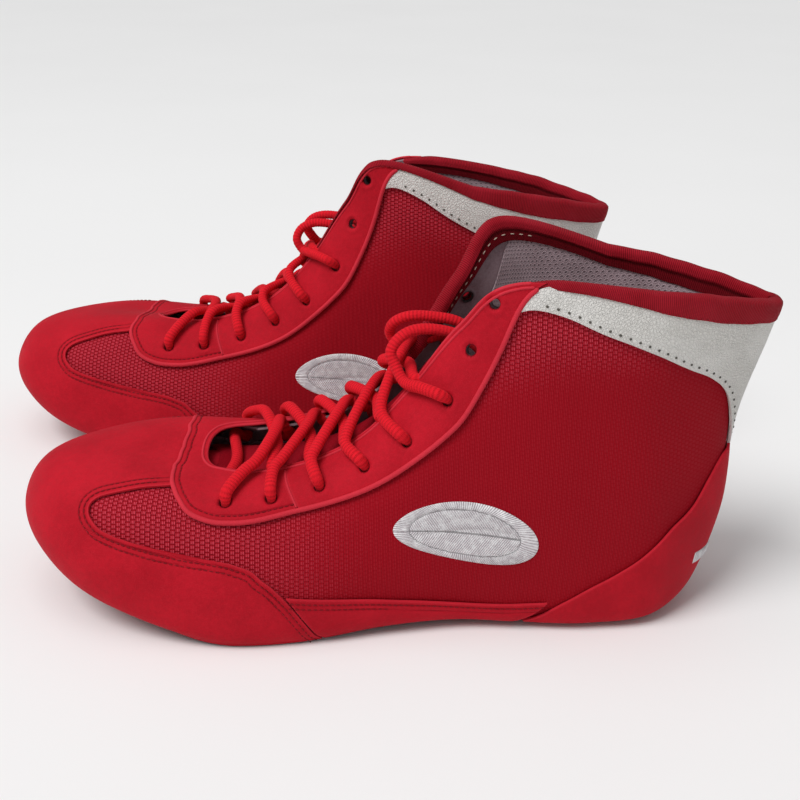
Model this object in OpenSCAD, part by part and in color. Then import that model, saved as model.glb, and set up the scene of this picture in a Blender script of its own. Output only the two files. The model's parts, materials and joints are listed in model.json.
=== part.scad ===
// A pair of laced boxing boots.
// Toes point along -X, the floor is z = 0, and the left boot stands at -Y.
// Every sheet of the upper lies on one smooth skin, skin(u, v), which is lofted through the sections
// of the last: u runs from the toe centre (0) along the outer side to the heel centre (10), and on
// round the inner side as 10 to 20, or as 0 to -10; v runs from the sole edge (0) to the topline (5).

/* [Boot] */
// Length of one boot, from the toe to the tip of the collar
boot_length = 306; // [280:1:320]
// Width of one boot across the ball
ball_width = 104; // [94:1:112]
// Height of the collar's front corner above the floor
shaft_height = 152; // [140:1:170]
// Sideways bend of the toe towards the inner side
toe_swing = 7; // [0:0.5:10]
// How much higher the inner side of the shaft stands than the outer side, as a share of its width
shaft_lean = 0.13; // [0:0.01:0.2]
// Further rise of the inner side's front corner, as a share of its width
corner_rise = 0.14; // [0:0.01:0.2]
// Drop of the inner side's topline towards the heel, as a share of its width
topline_dip = 0.35; // [0:0.01:0.5]

/* [Stance] */
// Distance between the boots along Y
stance_width = 152.8; // [135:0.1:200]
// How far the right boot stands ahead of the left one
stance_step = 49.2; // [0:0.1:80]
// Turn of the right boot, toe inwards
stance_turn = 5.5; // [0:0.1:10]

/* [Upper] */
// Thickness of the suede overlays
suede_t = 1.2; // [0.8:0.1:1.6]
// Thickness of the woven mesh
mesh_t = 0.8; // [0.5:0.1:1]
// Thickness of linings, facings and stiffeners
lining_t = 1; // [0.6:0.1:1.2]
// Thickness of the padded tongue
tongue_t = 3.5; // [2:0.5:5]

/* [Lacing] */
// Diameter of a punched eyelet
eyelet_d = 5.2; // [4.6:0.1:6]
// Diameter of the lace
lace_d = 4.2; // [3:0.1:4.4]
// Rows of eyelets that the lace runs through
laced_rows = 6; // [3:1:6]

/* [Sole] */
// Thickness of the tread pads
tread_t = 2; // [1:0.5:3]
// Thickness of the rubber outsole
outsole_t = 3.2; // [2:0.1:4]
// Diameter of the pivot ring under the ball
pivot_d = 44; // [30:1:50]

/* [Hidden] */
$fn = 24;

// Sections of the last, from the toe centre line to the heel centre line, outer side.
// Each holds its height levels from the sole edge to the topline.
sections = [
    [[-125, 0, 21], [-139, 0, 27], [-144, 0, 41], [-133, 0, 56], [-105, 0, 62], [-67, 0, 62]],
    [[-118, -22, 19], [-131, -26, 25], [-135, -26, 39], [-123, -23, 54], [-99, -15, 62], [-65, -7, 62.5]],
    [[-97, -38, 11], [-107, -43, 17], [-109, -43, 34], [-101, -37, 51], [-84, -26, 61], [-59, -12, 63]],
    [[-60, -49, 1.5], [-62, -52, 9], [-62, -50, 29], [-59, -41, 48], [-53, -29, 59], [-43, -14.5, 64]],
    [[-25, -46, 1], [-26, -49, 9], [-26, -47, 31], [-25, -37, 51], [-23, -26, 63], [-20, -13, 70]],
    [[8, -37, 3], [7, -41, 10], [6, -41, 36], [4, -35, 60], [2, -24, 75], [0, -12, 82]],
    [[38, -30, 3], [37, -35, 10], [33, -38, 42], [28, -35, 74], [23, -26, 94], [18, -13, 103]],
    [[66, -28, 2], [66, -34, 9], [61, -37, 48], [52, -34, 88], [44, -26, 119], [36, -19, 131]],
    [[92, -27, 2], [93, -33, 9], [90, -35, 52], [82, -33, 96], [71, -31, 132], [57, -27, 152]],
    [[117, -21, 3], [122, -26, 10], [121, -27, 52], [116, -25, 95], [116, -25.5, 128], [117, -24, 146.5]],
    [[132, 0, 4], [141, 0, 13], [149, 0, 45], [150, 0, 85], [158, 0, 119], [162, 0, 135]]];
last_section = len(sections) - 1;
top_level = len(sections[0]) - 1;
section_size = [306, 104, 152];
fit_scale = [boot_length / section_size.x, ball_width / section_size.y, shaft_height / section_size.z];

// Layers of the upper, as distances from the skin
layer_gap = 0.4;
suede_in = layer_gap;
suede_out = suede_in + suede_t;
mesh_out = 0;
mesh_in = mesh_out - mesh_t;
backing_out = mesh_in - layer_gap;
backing_in = backing_out - lining_t;
lining_out = backing_in - layer_gap;
lining_in = lining_out - lining_t;
badge_out = mesh_out + 0.9;
stiffener_in = backing_out - 0.7;

// Seam lines of the upper, as [u, v] pairs, the same on both sides
eyestay_edge = [[0, 4.65], [1.1, 4.58], [2.1, 4.22], [2.5, 3.68], [2.7, 3.35], [2.9, 3.2], [3.2, 3.15],
    [3.9, 3.24], [4.9, 3.27], [6.1, 3.4], [6.6, 3.48], [6.9, 3.65], [7.3, 4], [7.6, 4.37], [7.9, 4.6],
    [8.2, 5]];
quarter_bottom = [[1.75, 3.05], [1.9, 2.62], [2.3, 2.4], [3.05, 2.3], [3.35, 2.15], [3.6, 1.85],
    [3.9, 1.4], [4.65, 1.3], [5.3, 1.15], [6.1, 1.02], [7.5, 1.05], [8.3, 1.4], [9.1, 1.7], [9.5, 2.15],
    [10, 2.5]];
quarter_top = [[1.75, 3.35], [1.85, 3.7], [2, 3.95], [2.2, 4.15], [2.5, 3.8], [2.7, 3.47], [2.9, 3.32],
    [3.2, 3.27], [3.9, 3.36], [4.9, 3.4], [6.1, 3.52], [6.6, 3.6], [6.9, 3.77], [7.3, 4.12], [7.6, 4.45],
    [7.85, 4.6], [8.15, 4.45], [8.4, 4.2], [8.9, 3.9], [9.4, 3.6], [9.7, 3.3], [10, 2.9]];
collar_bottom = [[7.95, 4.5], [8.15, 4.32], [8.4, 4.07], [8.65, 3.92], [8.9, 3.78], [9.2, 3.6],
    [9.4, 3.5], [9.6, 3.35], [9.8, 3.05], [10, 2.74]];
collar_top = [[7.95, 4.66], [8.2, 4.86], [10, 4.86]];
counter_top = [[7, 0.7], [7.45, 1.1], [7.8, 1.34], [8.35, 1.52], [8.75, 1.66], [9.1, 1.82],
    [9.35, 2.04], [9.55, 2.35], [9.7, 2.55], [10, 2.68]];
band_top = [[3.8, 1.66], [4.65, 1.44], [5.35, 1.28], [6.1, 1.15], [7.45, 1.17]];
band_rear = [[0, 6.94], [0.75, 6.94], [1.17, 7.36]];
binding_bottom = [[8.2, 4.86], [8.5, 4.78], [8.75, 4.64], [8.95, 4.52], [9.2, 4.4], [10, 4.42]];
// Half width of the toe cap, as [v, u] pairs: it narrows between the two mesh windows
cap_half = [[0, 4.25], [1.2, 4.05], [1.6, 3.87], [2, 3.61], [2.3, 3.34], [2.42, 3.07], [2.5, 2.6],
    [2.62, 2.1], [2.75, 1.9], [2.95, 1.73], [3.2, 1.67], [3.55, 1.82], [3.85, 2], [4.05, 2.2]];
cap_rows = [0, 0.35, 0.7, 1, 1.3, 1.6, 1.9, 2.15, 2.35, 2.5, 2.62, 2.78, 3, 3.3, 3.6, 3.9, 4.4, 4.9];
cap_shoulder = 3.9;
seam_gap = 0.03;
lining_foot = 0.6;
throat_end = [3.93, 3.45];
facing_start = 2.75;
eyestay_end = 8.1;
eyelets = [[3, 3.7], [3.55, 3.73], [4.2, 3.78], [4.9, 3.8], [5.65, 3.78], [6.4, 3.87], [6.93, 4.27],
    [7.6, 4.8]];
throat_rows = 2;
throat_columns = [0.05, 0.14, 0.21, 0.28, 0.37, 0.46, 0.53, 0.59, 0.635, 0.685, 0.735, 0.81, 0.9, 1];
binding_start = 8.25;
binding_shape = [[0, 2.8], [0.55, 2.8], [1, 2.6], [1.12, -1.2], [1, -5.1], [0.5, -5.2]];
binding_t = 0.8;

// Sole: flat from the ball to the heel, and rising in a parabola under the toe
spring_start = -60;
spring_run = 65;
spring_rise = 19;
plate_gap = 0.5;
plate_end = 0.15;
board_t = 1.6;
sock_t = 3;
board_z = tread_t + outsole_t + plate_gap;
sock_z = board_z + board_t + plate_gap;
pivot_x = -34;
groove_w = 2;
groove_depth = 1;

// Tongue
tongue_start = 1.5;
tongue_end = 6.15;
tongue_side = [[1.5, 4.85], [3.2, 4.1]];
tongue_sink = 8.5;
tongue_side_sink = 10;

// Lace: how far its centre line stays from the skin over and under the eyestays, and its two tails
lace_over = suede_out + lace_d / 2 + 0.2;
lace_under = backing_in - lace_d / 2 - 0.4;
lace_cross = 2.3;
lace_rise = 3;
lace_bar = [2.6, 4.5, 2.3, -5.2];
outer_tail = [[11, -13, 108], [9, -11, 113], [12, -9, 118], [18, -7, 121], [28, -6, 121], [38, -6, 118],
    [46, -6, 111], [50, -6, 102], [51, -6, 92], [51, -6, 83]];
inner_tail = [[11, 13, 108], [8, 12, 113], [10, 10, 118], [16, 9, 121], [26, 9, 121], [36, 9, 119],
    [45, 9, 112], [49, 9, 103], [50, 9, 93], [50, 9, 84]];
aglet_d = 3.4;
aglet_l = 14;

suede_red = [0.72, 0.06, 0.11];
mesh_red = [0.62, 0.02, 0.08];
lace_red = [0.86, 0.08, 0.14];
dark_red = [0.42, 0.02, 0.06];
white_leather = [0.9, 0.9, 0.92];
lining_grey = [0.74, 0.72, 0.78];
silver = [0.8, 0.78, 0.82];
board_tan = [0.72, 0.6, 0.44];

function unit(a) = a / norm(a);
function mix(a, b, t) = a + (b - a) * t;
function flip(p) = [p.x, -p.y, p.z];
function steps(a, b, n) = [for (i = [0:n]) mix(a, b, i / n)];

// Smooth curve through b and c, with a and d as their outer neighbours
function cubic(a, b, c, d, t) =
    0.5 * (2 * b + (c - a) * t + (2 * a - 5 * b + 4 * c - d) * t * t + (3 * b - a - 3 * c + d) * t * t * t);

function level(row, k) =
    k < 0 ? 2 * row[0] - row[1]
    : k > top_level ? 2 * row[top_level] - row[top_level - 1]
    : row[k];

function up_section(row, v) =
    let (i = min(max(floor(v), 0), top_level - 1))
    cubic(level(row, i - 1), level(row, i), level(row, i + 1), level(row, i + 2), v - i);

function section_at(s, v) =
    s < 0 ? flip(up_section(sections[-s], v))
    : s > last_section ? flip(up_section(sections[2 * last_section - s], v))
    : up_section(sections[s], v);

function half_skin(u, v) =
    let (i = min(floor(u), last_section - 1))
    cubic(section_at(i - 1, v), section_at(i, v), section_at(i + 1, v), section_at(i + 2, v), u - i);

// The two sides differ: the toe swings inwards, and the inner side of the shaft stands higher in front
corner_lead = 0.1;
dip_start = 50;
dip_run = 50;

function shaped(p) =
    let (a = max(0, (-70 - p.x) / 75), up = pow(max(p.z, 0) / 150, 3), inner = max(0, p.y) * up,
        back = min(max((p.x - dip_start) / dip_run, 0), 1))
    [
        p.x - corner_lead * inner,
        p.y + toe_swing * a * a * (1 - 0.3 * min(p.z / 60, 1)),
        p.z + shaft_lean * p.y * up + (corner_rise - topline_dip * back) * inner];

function wrapped(u) = u > last_section ? u - 2 * last_section : u;
function side_u(u) = abs(wrapped(u));

function skin(u, v) =
    let (w = wrapped(u), p = half_skin(abs(w), v), q = shaped(w < 0 ? flip(p) : p))
    [q.x * fit_scale.x, q.y * fit_scale.y, q.z * fit_scale.z];

function skin_normal(u, v) =
    let (d = 0.02)
    unit(cross(skin(u + d, v) - skin(u - d, v), skin(u, v + d) - skin(u, v - d)));

function off_skin(u, v, h) = skin(u, v) + h * skin_normal(u, v);

function sole_z(x) = spring_rise * pow(max(0, spring_start - x) / spring_run, 2);

// Middle of the lacing gap at u, sunk by h along the direction that faces out of the gap
function gap_normal(u) = unit(skin_normal(u, 4.9) + skin_normal(-u, 4.9));
function gap_point(u, h) = (skin(u, top_level) + skin(-u, top_level)) / 2 + h * gap_normal(u);

// Closed sheet between two grids of points that match
module sheet(outer, inner) {
    n = len(outer);
    m = len(outer[0]);
    points = concat([for (row = outer) each row], [for (row = inner) each row]);
    function at(layer, i, j) = (layer * n + i) * m + j;
    function quad(a, b, c, d) = [[a, b, c], [a, c, d]];
    faces = [
        for (i = [0:n - 2], j = [0:m - 2])
            each concat(
                quad(at(0, i, j), at(0, i, j + 1), at(0, i + 1, j + 1), at(0, i + 1, j)),
                quad(at(1, i, j), at(1, i + 1, j), at(1, i + 1, j + 1), at(1, i, j + 1))),
        for (i = [0:n - 2])
            each concat(
                quad(at(0, i, 0), at(0, i + 1, 0), at(1, i + 1, 0), at(1, i, 0)),
                quad(at(0, i + 1, m - 1), at(0, i, m - 1), at(1, i, m - 1), at(1, i + 1, m - 1))),
        for (j = [0:m - 2])
            each concat(
                quad(at(0, 0, j + 1), at(0, 0, j), at(1, 0, j), at(1, 0, j + 1)),
                quad(at(0, n - 1, j), at(0, n - 1, j + 1), at(1, n - 1, j + 1), at(1, n - 1, j)))];
    polyhedron(points, faces);
}

// Panel of the upper: map(s, t) gives [u, v] at each step of ss and ts
module panel(map, ss, ts, low, high) {
    function grid(h) = [for (s = ss) [for (t = ts) let (q = map(s, t)) off_skin(q[0], q[1], h)]];
    sheet(grid(high), grid(low));
}

// Panel map between two seam lines
function between(bottom, top) =
    function(u, t) [u, mix(lookup(side_u(u), bottom), lookup(side_u(u), top), t)];

function flat_edge(v) = [[0, v], [last_section, v]];

// Plate of the sole: its outline follows the skin at level v, inset, and it follows the toe spring
module plate(v, inset, low, high, n, rows) {
    function rim(u) = let (p = skin(u, v), m = skin_normal(u, v)) p - inset * unit([m.x, m.y, 0]);
    function grid(z) = [
        for (u = steps(plate_end, last_section - plate_end, n))
            [for (t = rows) let (p = mix(rim(u), rim(-u), t)) [p.x, p.y, z + sole_z(p.x)]]];
    sheet(grid(high), grid(low));
}

// Tread pad: a flat prism with the outline of the sole, from x_front to x_rear
module tread(u_front, u_rear, inset) {
    side = steps(u_front, u_rear, 10);
    function rim(u) = let (p = skin(u, 0), m = skin_normal(u, 0)) p - inset * unit([m.x, m.y, 0]);
    linear_extrude(tread_t)
        polygon(concat([for (u = side) [rim(u).x, rim(u).y]],
            [for (i = [len(side) - 1:-1:0]) [rim(-side[i]).x, rim(-side[i]).y]]));
}

// Round cord through a list of points
module cord(path, d, sides) {
    n = len(path);
    function heading(i) = unit(path[min(i + 1, n - 1)] - path[max(i - 1, 0)]);
    function square_to(a, t) = unit(a - (a * t) * t);
    across = [for (i = 0, a = square_to([0, 0.3, 1], heading(0)); i < n; i = i + 1,
        a = square_to(a, heading(min(i, n - 1)))) a];
    points = [for (i = [0:n - 1]) for (k = [0:sides - 1])
        path[i] + d / 2 * (cos(360 * k / sides) * across[i] + sin(360 * k / sides) * cross(heading(i), across[i]))];
    faces = concat(
        [[for (k = [sides - 1:-1:0]) k]],
        [for (i = [0:n - 2], k = [0:sides - 1]) let (a = i * sides + k, b = i * sides + (k + 1) % sides)
            each [[a, b, b + sides], [a, b + sides, a + sides]]],
        [[for (k = [0:sides - 1]) (n - 1) * sides + k]]);
    polyhedron(points, [for (f = faces) [for (k = [len(f) - 1:-1:0]) f[k]]]);
}

// Turns +Z to lie along a
module aim(a) {
    rotate([0, acos(a.z / norm(a)), atan2(a.y, a.x)]) children();
}

module eyelet_punches(side, first, last) {
    for (k = [first:last]) {
        q = eyelets[k];
        translate(skin(side * q[0], q[1])) aim(skin_normal(side * q[0], q[1]))
            cylinder(h = 12, d = eyelet_d, center = true);
    }
}

// Sole

module outsole() {
    color(suede_red) plate(0, 0.4, tread_t, tread_t + outsole_t, 18, [0, 0.12, 0.5, 0.88, 1]);
}

module forefoot_tread() {
    color(dark_red) difference() {
        tread(2.95, 4.65, 5);
        translate([pivot_x, 0, -groove_depth]) difference() {
            cylinder(h = 2 * groove_depth, d = pivot_d);
            translate([0, 0, -groove_depth]) cylinder(h = 4 * groove_depth, d = pivot_d - 2 * groove_w);
        }
    }
}

module heel_tread() {
    color(dark_red) tread(6.8, 9.4, 4);
}

module lasting_board() {
    color(board_tan) plate(0, 4.2, board_z, board_z + board_t, 14, [0, 0.5, 1]);
}

module sock_liner() {
    color(lining_grey) plate(0.8, 5, sock_z, sock_z + sock_t, 14, [0, 0.2, 0.8, 1]);
}

// Stiffeners

module toe_puff() {
    color(board_tan)
        panel(between(flat_edge(0.8), flat_edge(3.1)), steps(-2.4, 2.4, 12), steps(0, 1, 8),
            stiffener_in, backing_out);
}

module heel_stiffener() {
    color(board_tan)
        panel(between(flat_edge(0.65), flat_edge(2.3)), steps(7.6, 12.4, 16), steps(0, 1, 4),
            stiffener_in, backing_out);
}

// Upper

module toe_cap() {
    top = function(r) lookup(abs(r) * 2.2, eyestay_edge) - seam_gap;
    map = function(r, t)
        let (v = t <= cap_shoulder ? t : mix(cap_shoulder, top(r), t - cap_shoulder))
        [r * lookup(v, cap_half), v];
    color(suede_red) panel(map, steps(-1, 1, 24), cap_rows, suede_in, suede_out);
}

module quarter(side) {
    us = [1.75, 1.88, 2.05, 2.3, 2.6, 3, 3.5, 4, 4.5, 5, 5.5, 6, 6.5, 7, 7.5, 7.85, 8.3, 8.8, 9.3, 9.65, 9.95];
    color(mesh_red)
        panel(between(quarter_bottom, quarter_top),
            side > 0 ? us : [for (i = [len(us) - 1:-1:0]) -us[i]], steps(0, 1, 7), mesh_in, mesh_out);
}

module throat_piece() {
    map = function(r, t)
        let (u = r * mix(throat_end[0], throat_end[1], t))
        [u, mix(lookup(abs(u), eyestay_edge), top_level, t)];
    color(suede_red) difference() {
        panel(map, concat(backwards(-throat_columns), throat_columns), steps(0, 1, 3), suede_in, suede_out);
        eyelet_punches(1, 0, throat_rows - 1);
        eyelet_punches(-1, 0, throat_rows - 1);
    }
}

module eyestay(side) {
    map = function(s, t)
        let (u = mix(mix(throat_end[0], throat_end[1], t) + seam_gap, eyestay_end, side > 0 ? s : 1 - s))
        [side * u, mix(lookup(u, eyestay_edge), top_level, t)];
    color(suede_red) difference() {
        panel(map, steps(0, 1, 16), steps(0, 1, 4), suede_in, suede_out);
        eyelet_punches(side, throat_rows, len(eyelets) - 1);
    }
}

module facing(side) {
    map = function(s, t)
        let (u = mix(facing_start, eyestay_end, side > 0 ? s : 1 - s))
        [side * u, mix(lookup(u, eyestay_edge) - 0.2, top_level - seam_gap, t)];
    color(lining_grey) difference() {
        panel(map, steps(0, 1, 16), steps(0, 1, 3), backing_in, backing_out);
        eyelet_punches(side, 0, len(eyelets) - 1);
    }
}

module side_band(side) {
    map = function(s, t)
        let (front = lookup(t * 1.64, cap_half) + seam_gap, rear = lookup(t * 1.17, band_rear),
            u = mix(front, rear, side > 0 ? s : 1 - s))
        [side * u, t * lookup(u, band_top)];
    color(suede_red) panel(map, steps(0, 1, 10), [0, 0.3, 0.6, 0.64, 0.82, 1], suede_in, suede_out);
}

module heel_counter() {
    us = [7, 7.3, 7.6, 8, 8.4, 8.8, 9.1, 9.35, 9.55, 9.75, 10];
    color(suede_red)
        panel(between(flat_edge(0), counter_top),
            concat(us, [for (i = [len(us) - 2:-1:0]) 2 * last_section - us[i]]), steps(0, 1, 6),
            suede_in, suede_out);
}

module collar_panel() {
    us = [7.95, 8.2, 8.45, 8.7, 9, 9.25, 9.45, 9.65, 9.82, 10];
    color(white_leather)
        panel(between(collar_bottom, collar_top),
            concat(us, [for (i = [len(us) - 2:-1:0]) 2 * last_section - us[i]]), steps(0, 1, 4),
            suede_in, suede_out);
}

// Folded over the topline, outside and inside
module collar_binding() {
    function grid(inset) = [
        for (u = steps(binding_start, 2 * last_section - binding_start, 20))
            [for (q = binding_shape)
                off_skin(u, mix(lookup(side_u(u), binding_bottom), top_level, q[0] - (q[0] > 0.8 ? inset * 0.08 : 0)),
                    q[1] - sign(q[1] + 1.2) * inset)]];
    color(dark_red) sheet(grid(0), grid(binding_t));
}

module vamp_lining() {
    map = function(u, t) [u, mix(lining_foot, lookup(abs(u), eyestay_edge) - 0.05, t)];
    color(lining_grey) panel(map, steps(-4.3, 4.3, 20), steps(0, 1, 11), lining_in, lining_out);
}

module quarter_lining() {
    map = function(u, t)
        [u, mix(lining_foot, min(lookup(side_u(u), eyestay_edge), top_level - 0.12), t)];
    color(lining_grey)
        panel(map, concat(steps(4.35, 7.3, 6), steps(7.6, 12.4, 16), steps(12.7, 15.65, 6)), steps(0, 1, 8),
            lining_in, lining_out);
}

// Tongue: a padded sheet that crosses under the gap, in a parabola between its two sides
function tongue_point(u, b, h) =
    let (v = lookup(u, tongue_side), a = off_skin(u, v, h - tongue_side_sink),
        c = off_skin(-u, v, h - tongue_side_sink), m = gap_point(u, h - tongue_sink))
    m + (c - a) / 2 * b + ((a + c) / 2 - m) * b * b;

module tongue() {
    function grid(h) = [for (b = steps(1, -1, 8)) [for (u = steps(tongue_start, tongue_end, 12)) tongue_point(u, b, h)]];
    color(dark_red) sheet(grid(0), grid(-tongue_t));
}

module tongue_binding() {
    function grid(h) = [for (b = steps(1, -1, 8)) [for (u = steps(tongue_end + seam_gap, tongue_end + 0.15, 2))
        tongue_point(u, b, h)]];
    color(suede_red) sheet(grid(0.6), grid(-tongue_t - 0.6));
}

// Lace: under the first row, then criss-cross, with both tails tucked down inside the boot

function crossing(side, k) =
    let (a = eyelets[k], b = eyelets[k + 1])
    [
        off_skin(side * a[0], a[1], lace_under),
        off_skin(side * a[0], a[1], lace_over),
        off_skin(side * (a[0] - 0.05), top_level - 0.1, lace_over),
        gap_point((a[0] + b[0]) / 2, side * lace_cross + lace_rise),
        off_skin(-side * (b[0] - 0.15), top_level - 0.1, lace_under)];

function strand(side) = [for (k = [0:laced_rows - 2]) each crossing(k % 2 == 0 ? side : -side, k)];

function last_hole(side) =
    let (a = eyelets[laced_rows - 1])
    [
        off_skin(side * a[0], a[1], lace_under),
        off_skin(side * a[0], a[1], lace_over),
        off_skin(side * (a[0] - 0.2), (a[1] + top_level) / 2, lace_over),
        off_skin(side * (a[0] - 0.4), top_level, lace_over)];

// Straight bar under the first row, from the outer to the inner side
function first_bar() = [
    off_skin(lace_bar[0], lace_bar[1], lace_under), gap_point(lace_bar[2], lace_bar[3]),
    off_skin(-lace_bar[0], lace_bar[1], lace_under)];

function backwards(list) = [for (i = [len(list) - 1:-1:0]) list[i]];

function lace_path() =
    let (odd = laced_rows % 2 == 1)
    concat(
        backwards(odd ? outer_tail : inner_tail), backwards(last_hole(odd ? 1 : -1)), backwards(strand(1)),
        first_bar(), strand(-1), last_hole(odd ? -1 : 1), odd ? inner_tail : outer_tail);

module lace() {
    color(lace_red) cord(lace_path(), lace_d, 8);
}

module aglets() {
    color(lace_red)
        for (tail = [outer_tail, inner_tail]) {
            n = len(tail) - 1;
            run = tail[n] - tail[n - 1];
            translate(tail[n] + 0.1 * unit(run)) aim(run) cylinder(h = aglet_l, d = aglet_d);
        }
}

// Marks: a plain oval on each side and a plain bar at the heel

module badge(side) {
    map = function(s, t)
        let (a = 175 * s + 2.5)
        [side * (6.3 + (side > 0 ? -1 : 1) * 0.95 * cos(a)), 2.15 + 0.4 * sin(a) * (2 * t - 1)];
    color(silver) panel(map, steps(0, 1, 14), steps(0, 1, 4), mesh_out + 0.1, badge_out);
}

module heel_bar() {
    color(white_leather)
        panel(between(flat_edge(1.55), flat_edge(1.75)), steps(9.45, 10.55, 6), steps(0, 1, 2),
            suede_out + 0.3, suede_out + 0.9);
}

// The pair stands centred on the origin
module right_stance() {
    translate([-stance_step, stance_width, 0]) rotate(-stance_turn) mirror([0, 1, 0]) children();
}

function right_spot(p) =
    let (c = cos(stance_turn), s = sin(stance_turn))
    [c * p.x - s * p.y - stance_step, -s * p.x - c * p.y + stance_width];

outline = [for (u = steps(-last_section, last_section, 80), v = [0:0.5:top_level]) off_skin(u, v, suede_out)];
right_outline = [for (p = outline) right_spot(p)];
all_x = concat([for (p = outline) p.x], [for (p = right_outline) p.x]);
all_y = concat([for (p = outline) p.y], [for (p = right_outline) p.y]);
pair_centre = [(min(all_x) + max(all_x)) / 2, (min(all_y) + max(all_y)) / 2, 0];

module left() {
    translate(-pair_centre) children();
}

module right() {
    translate(-pair_centre) right_stance() children();
}

left() outsole();  // left_outsole
left() forefoot_tread();  // left_forefoot_tread
left() heel_tread();  // left_heel_tread
left() lasting_board();  // left_lasting_board
left() sock_liner();  // left_sock_liner
left() toe_puff();  // left_toe_puff
left() heel_stiffener();  // left_heel_stiffener
left() toe_cap();  // left_toe_cap
left() quarter(1);  // left_lateral_quarter
left() quarter(-1);  // left_medial_quarter
left() throat_piece();  // left_throat_piece
left() eyestay(1);  // left_lateral_eyestay
left() eyestay(-1);  // left_medial_eyestay
left() facing(1);  // left_lateral_facing
left() facing(-1);  // left_medial_facing
left() side_band(1);  // left_lateral_side_band
left() side_band(-1);  // left_medial_side_band
left() heel_counter();  // left_heel_counter
left() collar_panel();  // left_collar_panel
left() collar_binding();  // left_collar_binding
left() vamp_lining();  // left_vamp_lining
left() quarter_lining();  // left_quarter_lining
left() tongue();  // left_tongue
left() tongue_binding();  // left_tongue_binding
left() lace();  // left_lace
left() aglets();  // left_aglets
left() badge(1);  // left_lateral_badge
left() badge(-1);  // left_medial_badge
left() heel_bar();  // left_heel_bar
right() outsole();  // right_outsole
right() forefoot_tread();  // right_forefoot_tread
right() heel_tread();  // right_heel_tread
right() lasting_board();  // right_lasting_board
right() sock_liner();  // right_sock_liner
right() toe_puff();  // right_toe_puff
right() heel_stiffener();  // right_heel_stiffener
right() toe_cap();  // right_toe_cap
right() quarter(1);  // right_lateral_quarter
right() quarter(-1);  // right_medial_quarter
right() throat_piece();  // right_throat_piece
right() eyestay(1);  // right_lateral_eyestay
right() eyestay(-1);  // right_medial_eyestay
right() facing(1);  // right_lateral_facing
right() facing(-1);  // right_medial_facing
right() side_band(1);  // right_lateral_side_band
right() side_band(-1);  // right_medial_side_band
right() heel_counter();  // right_heel_counter
right() collar_panel();  // right_collar_panel
right() collar_binding();  // right_collar_binding
right() vamp_lining();  // right_vamp_lining
right() quarter_lining();  // right_quarter_lining
right() tongue();  // right_tongue
right() tongue_binding();  // right_tongue_binding
right() lace();  // right_lace
right() aglets();  // right_aglets
right() badge(1);  // right_lateral_badge
right() badge(-1);  // right_medial_badge
right() heel_bar();  // right_heel_bar
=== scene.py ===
import bpy
import json
import math
import numpy as np
from mathutils import Matrix, Vector


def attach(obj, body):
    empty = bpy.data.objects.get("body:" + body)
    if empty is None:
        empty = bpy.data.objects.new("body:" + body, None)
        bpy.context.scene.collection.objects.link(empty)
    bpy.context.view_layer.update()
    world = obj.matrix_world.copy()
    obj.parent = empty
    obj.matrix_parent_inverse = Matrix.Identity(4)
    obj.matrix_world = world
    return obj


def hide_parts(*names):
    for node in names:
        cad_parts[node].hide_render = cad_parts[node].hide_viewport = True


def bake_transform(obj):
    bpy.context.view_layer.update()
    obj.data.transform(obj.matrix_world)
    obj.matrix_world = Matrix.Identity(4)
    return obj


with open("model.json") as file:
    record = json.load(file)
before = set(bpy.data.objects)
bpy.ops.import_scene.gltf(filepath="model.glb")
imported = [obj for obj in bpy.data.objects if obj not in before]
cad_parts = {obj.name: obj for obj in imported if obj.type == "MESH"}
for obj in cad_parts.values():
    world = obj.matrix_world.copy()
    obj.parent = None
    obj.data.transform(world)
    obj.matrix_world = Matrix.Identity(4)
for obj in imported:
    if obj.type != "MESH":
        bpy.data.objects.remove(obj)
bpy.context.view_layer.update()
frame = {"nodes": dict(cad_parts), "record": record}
mounts = {mount["name"]: np.array(mount["pos_m"]) for mount in frame["record"]["mounts"]}
print("frame loaded")

# Camera, where a buyer would stand to look at the pair
cameraSet = {"place": (0.03226, -0.53585, 0.2919), "yaw": 0.003, "pitch": 0.415, "roll": 0.026,
             "lens": 54.68, "shift": (-0.0158, -0.0086)}


def addCamera():
    yaw, pitch, roll = cameraSet["yaw"], cameraSet["pitch"], cameraSet["roll"]
    ahead = Vector((math.sin(yaw) * math.cos(pitch), math.cos(yaw) * math.cos(pitch), -math.sin(pitch)))
    right = Vector((math.cos(yaw), -math.sin(yaw), 0))
    up = right.cross(ahead)
    rolledRight = right * math.cos(roll) + up * math.sin(roll)
    rolledUp = up * math.cos(roll) - right * math.sin(roll)
    bpy.ops.object.camera_add(location=cameraSet["place"])
    camera = bpy.context.object
    camera.rotation_euler = Matrix((rolledRight, rolledUp, -ahead)).transposed().to_euler()
    camera.data.lens = cameraSet["lens"]
    camera.data.sensor_width = 36
    camera.data.shift_x, camera.data.shift_y = cameraSet["shift"]
    bpy.context.scene.camera = camera


addCamera()

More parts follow.
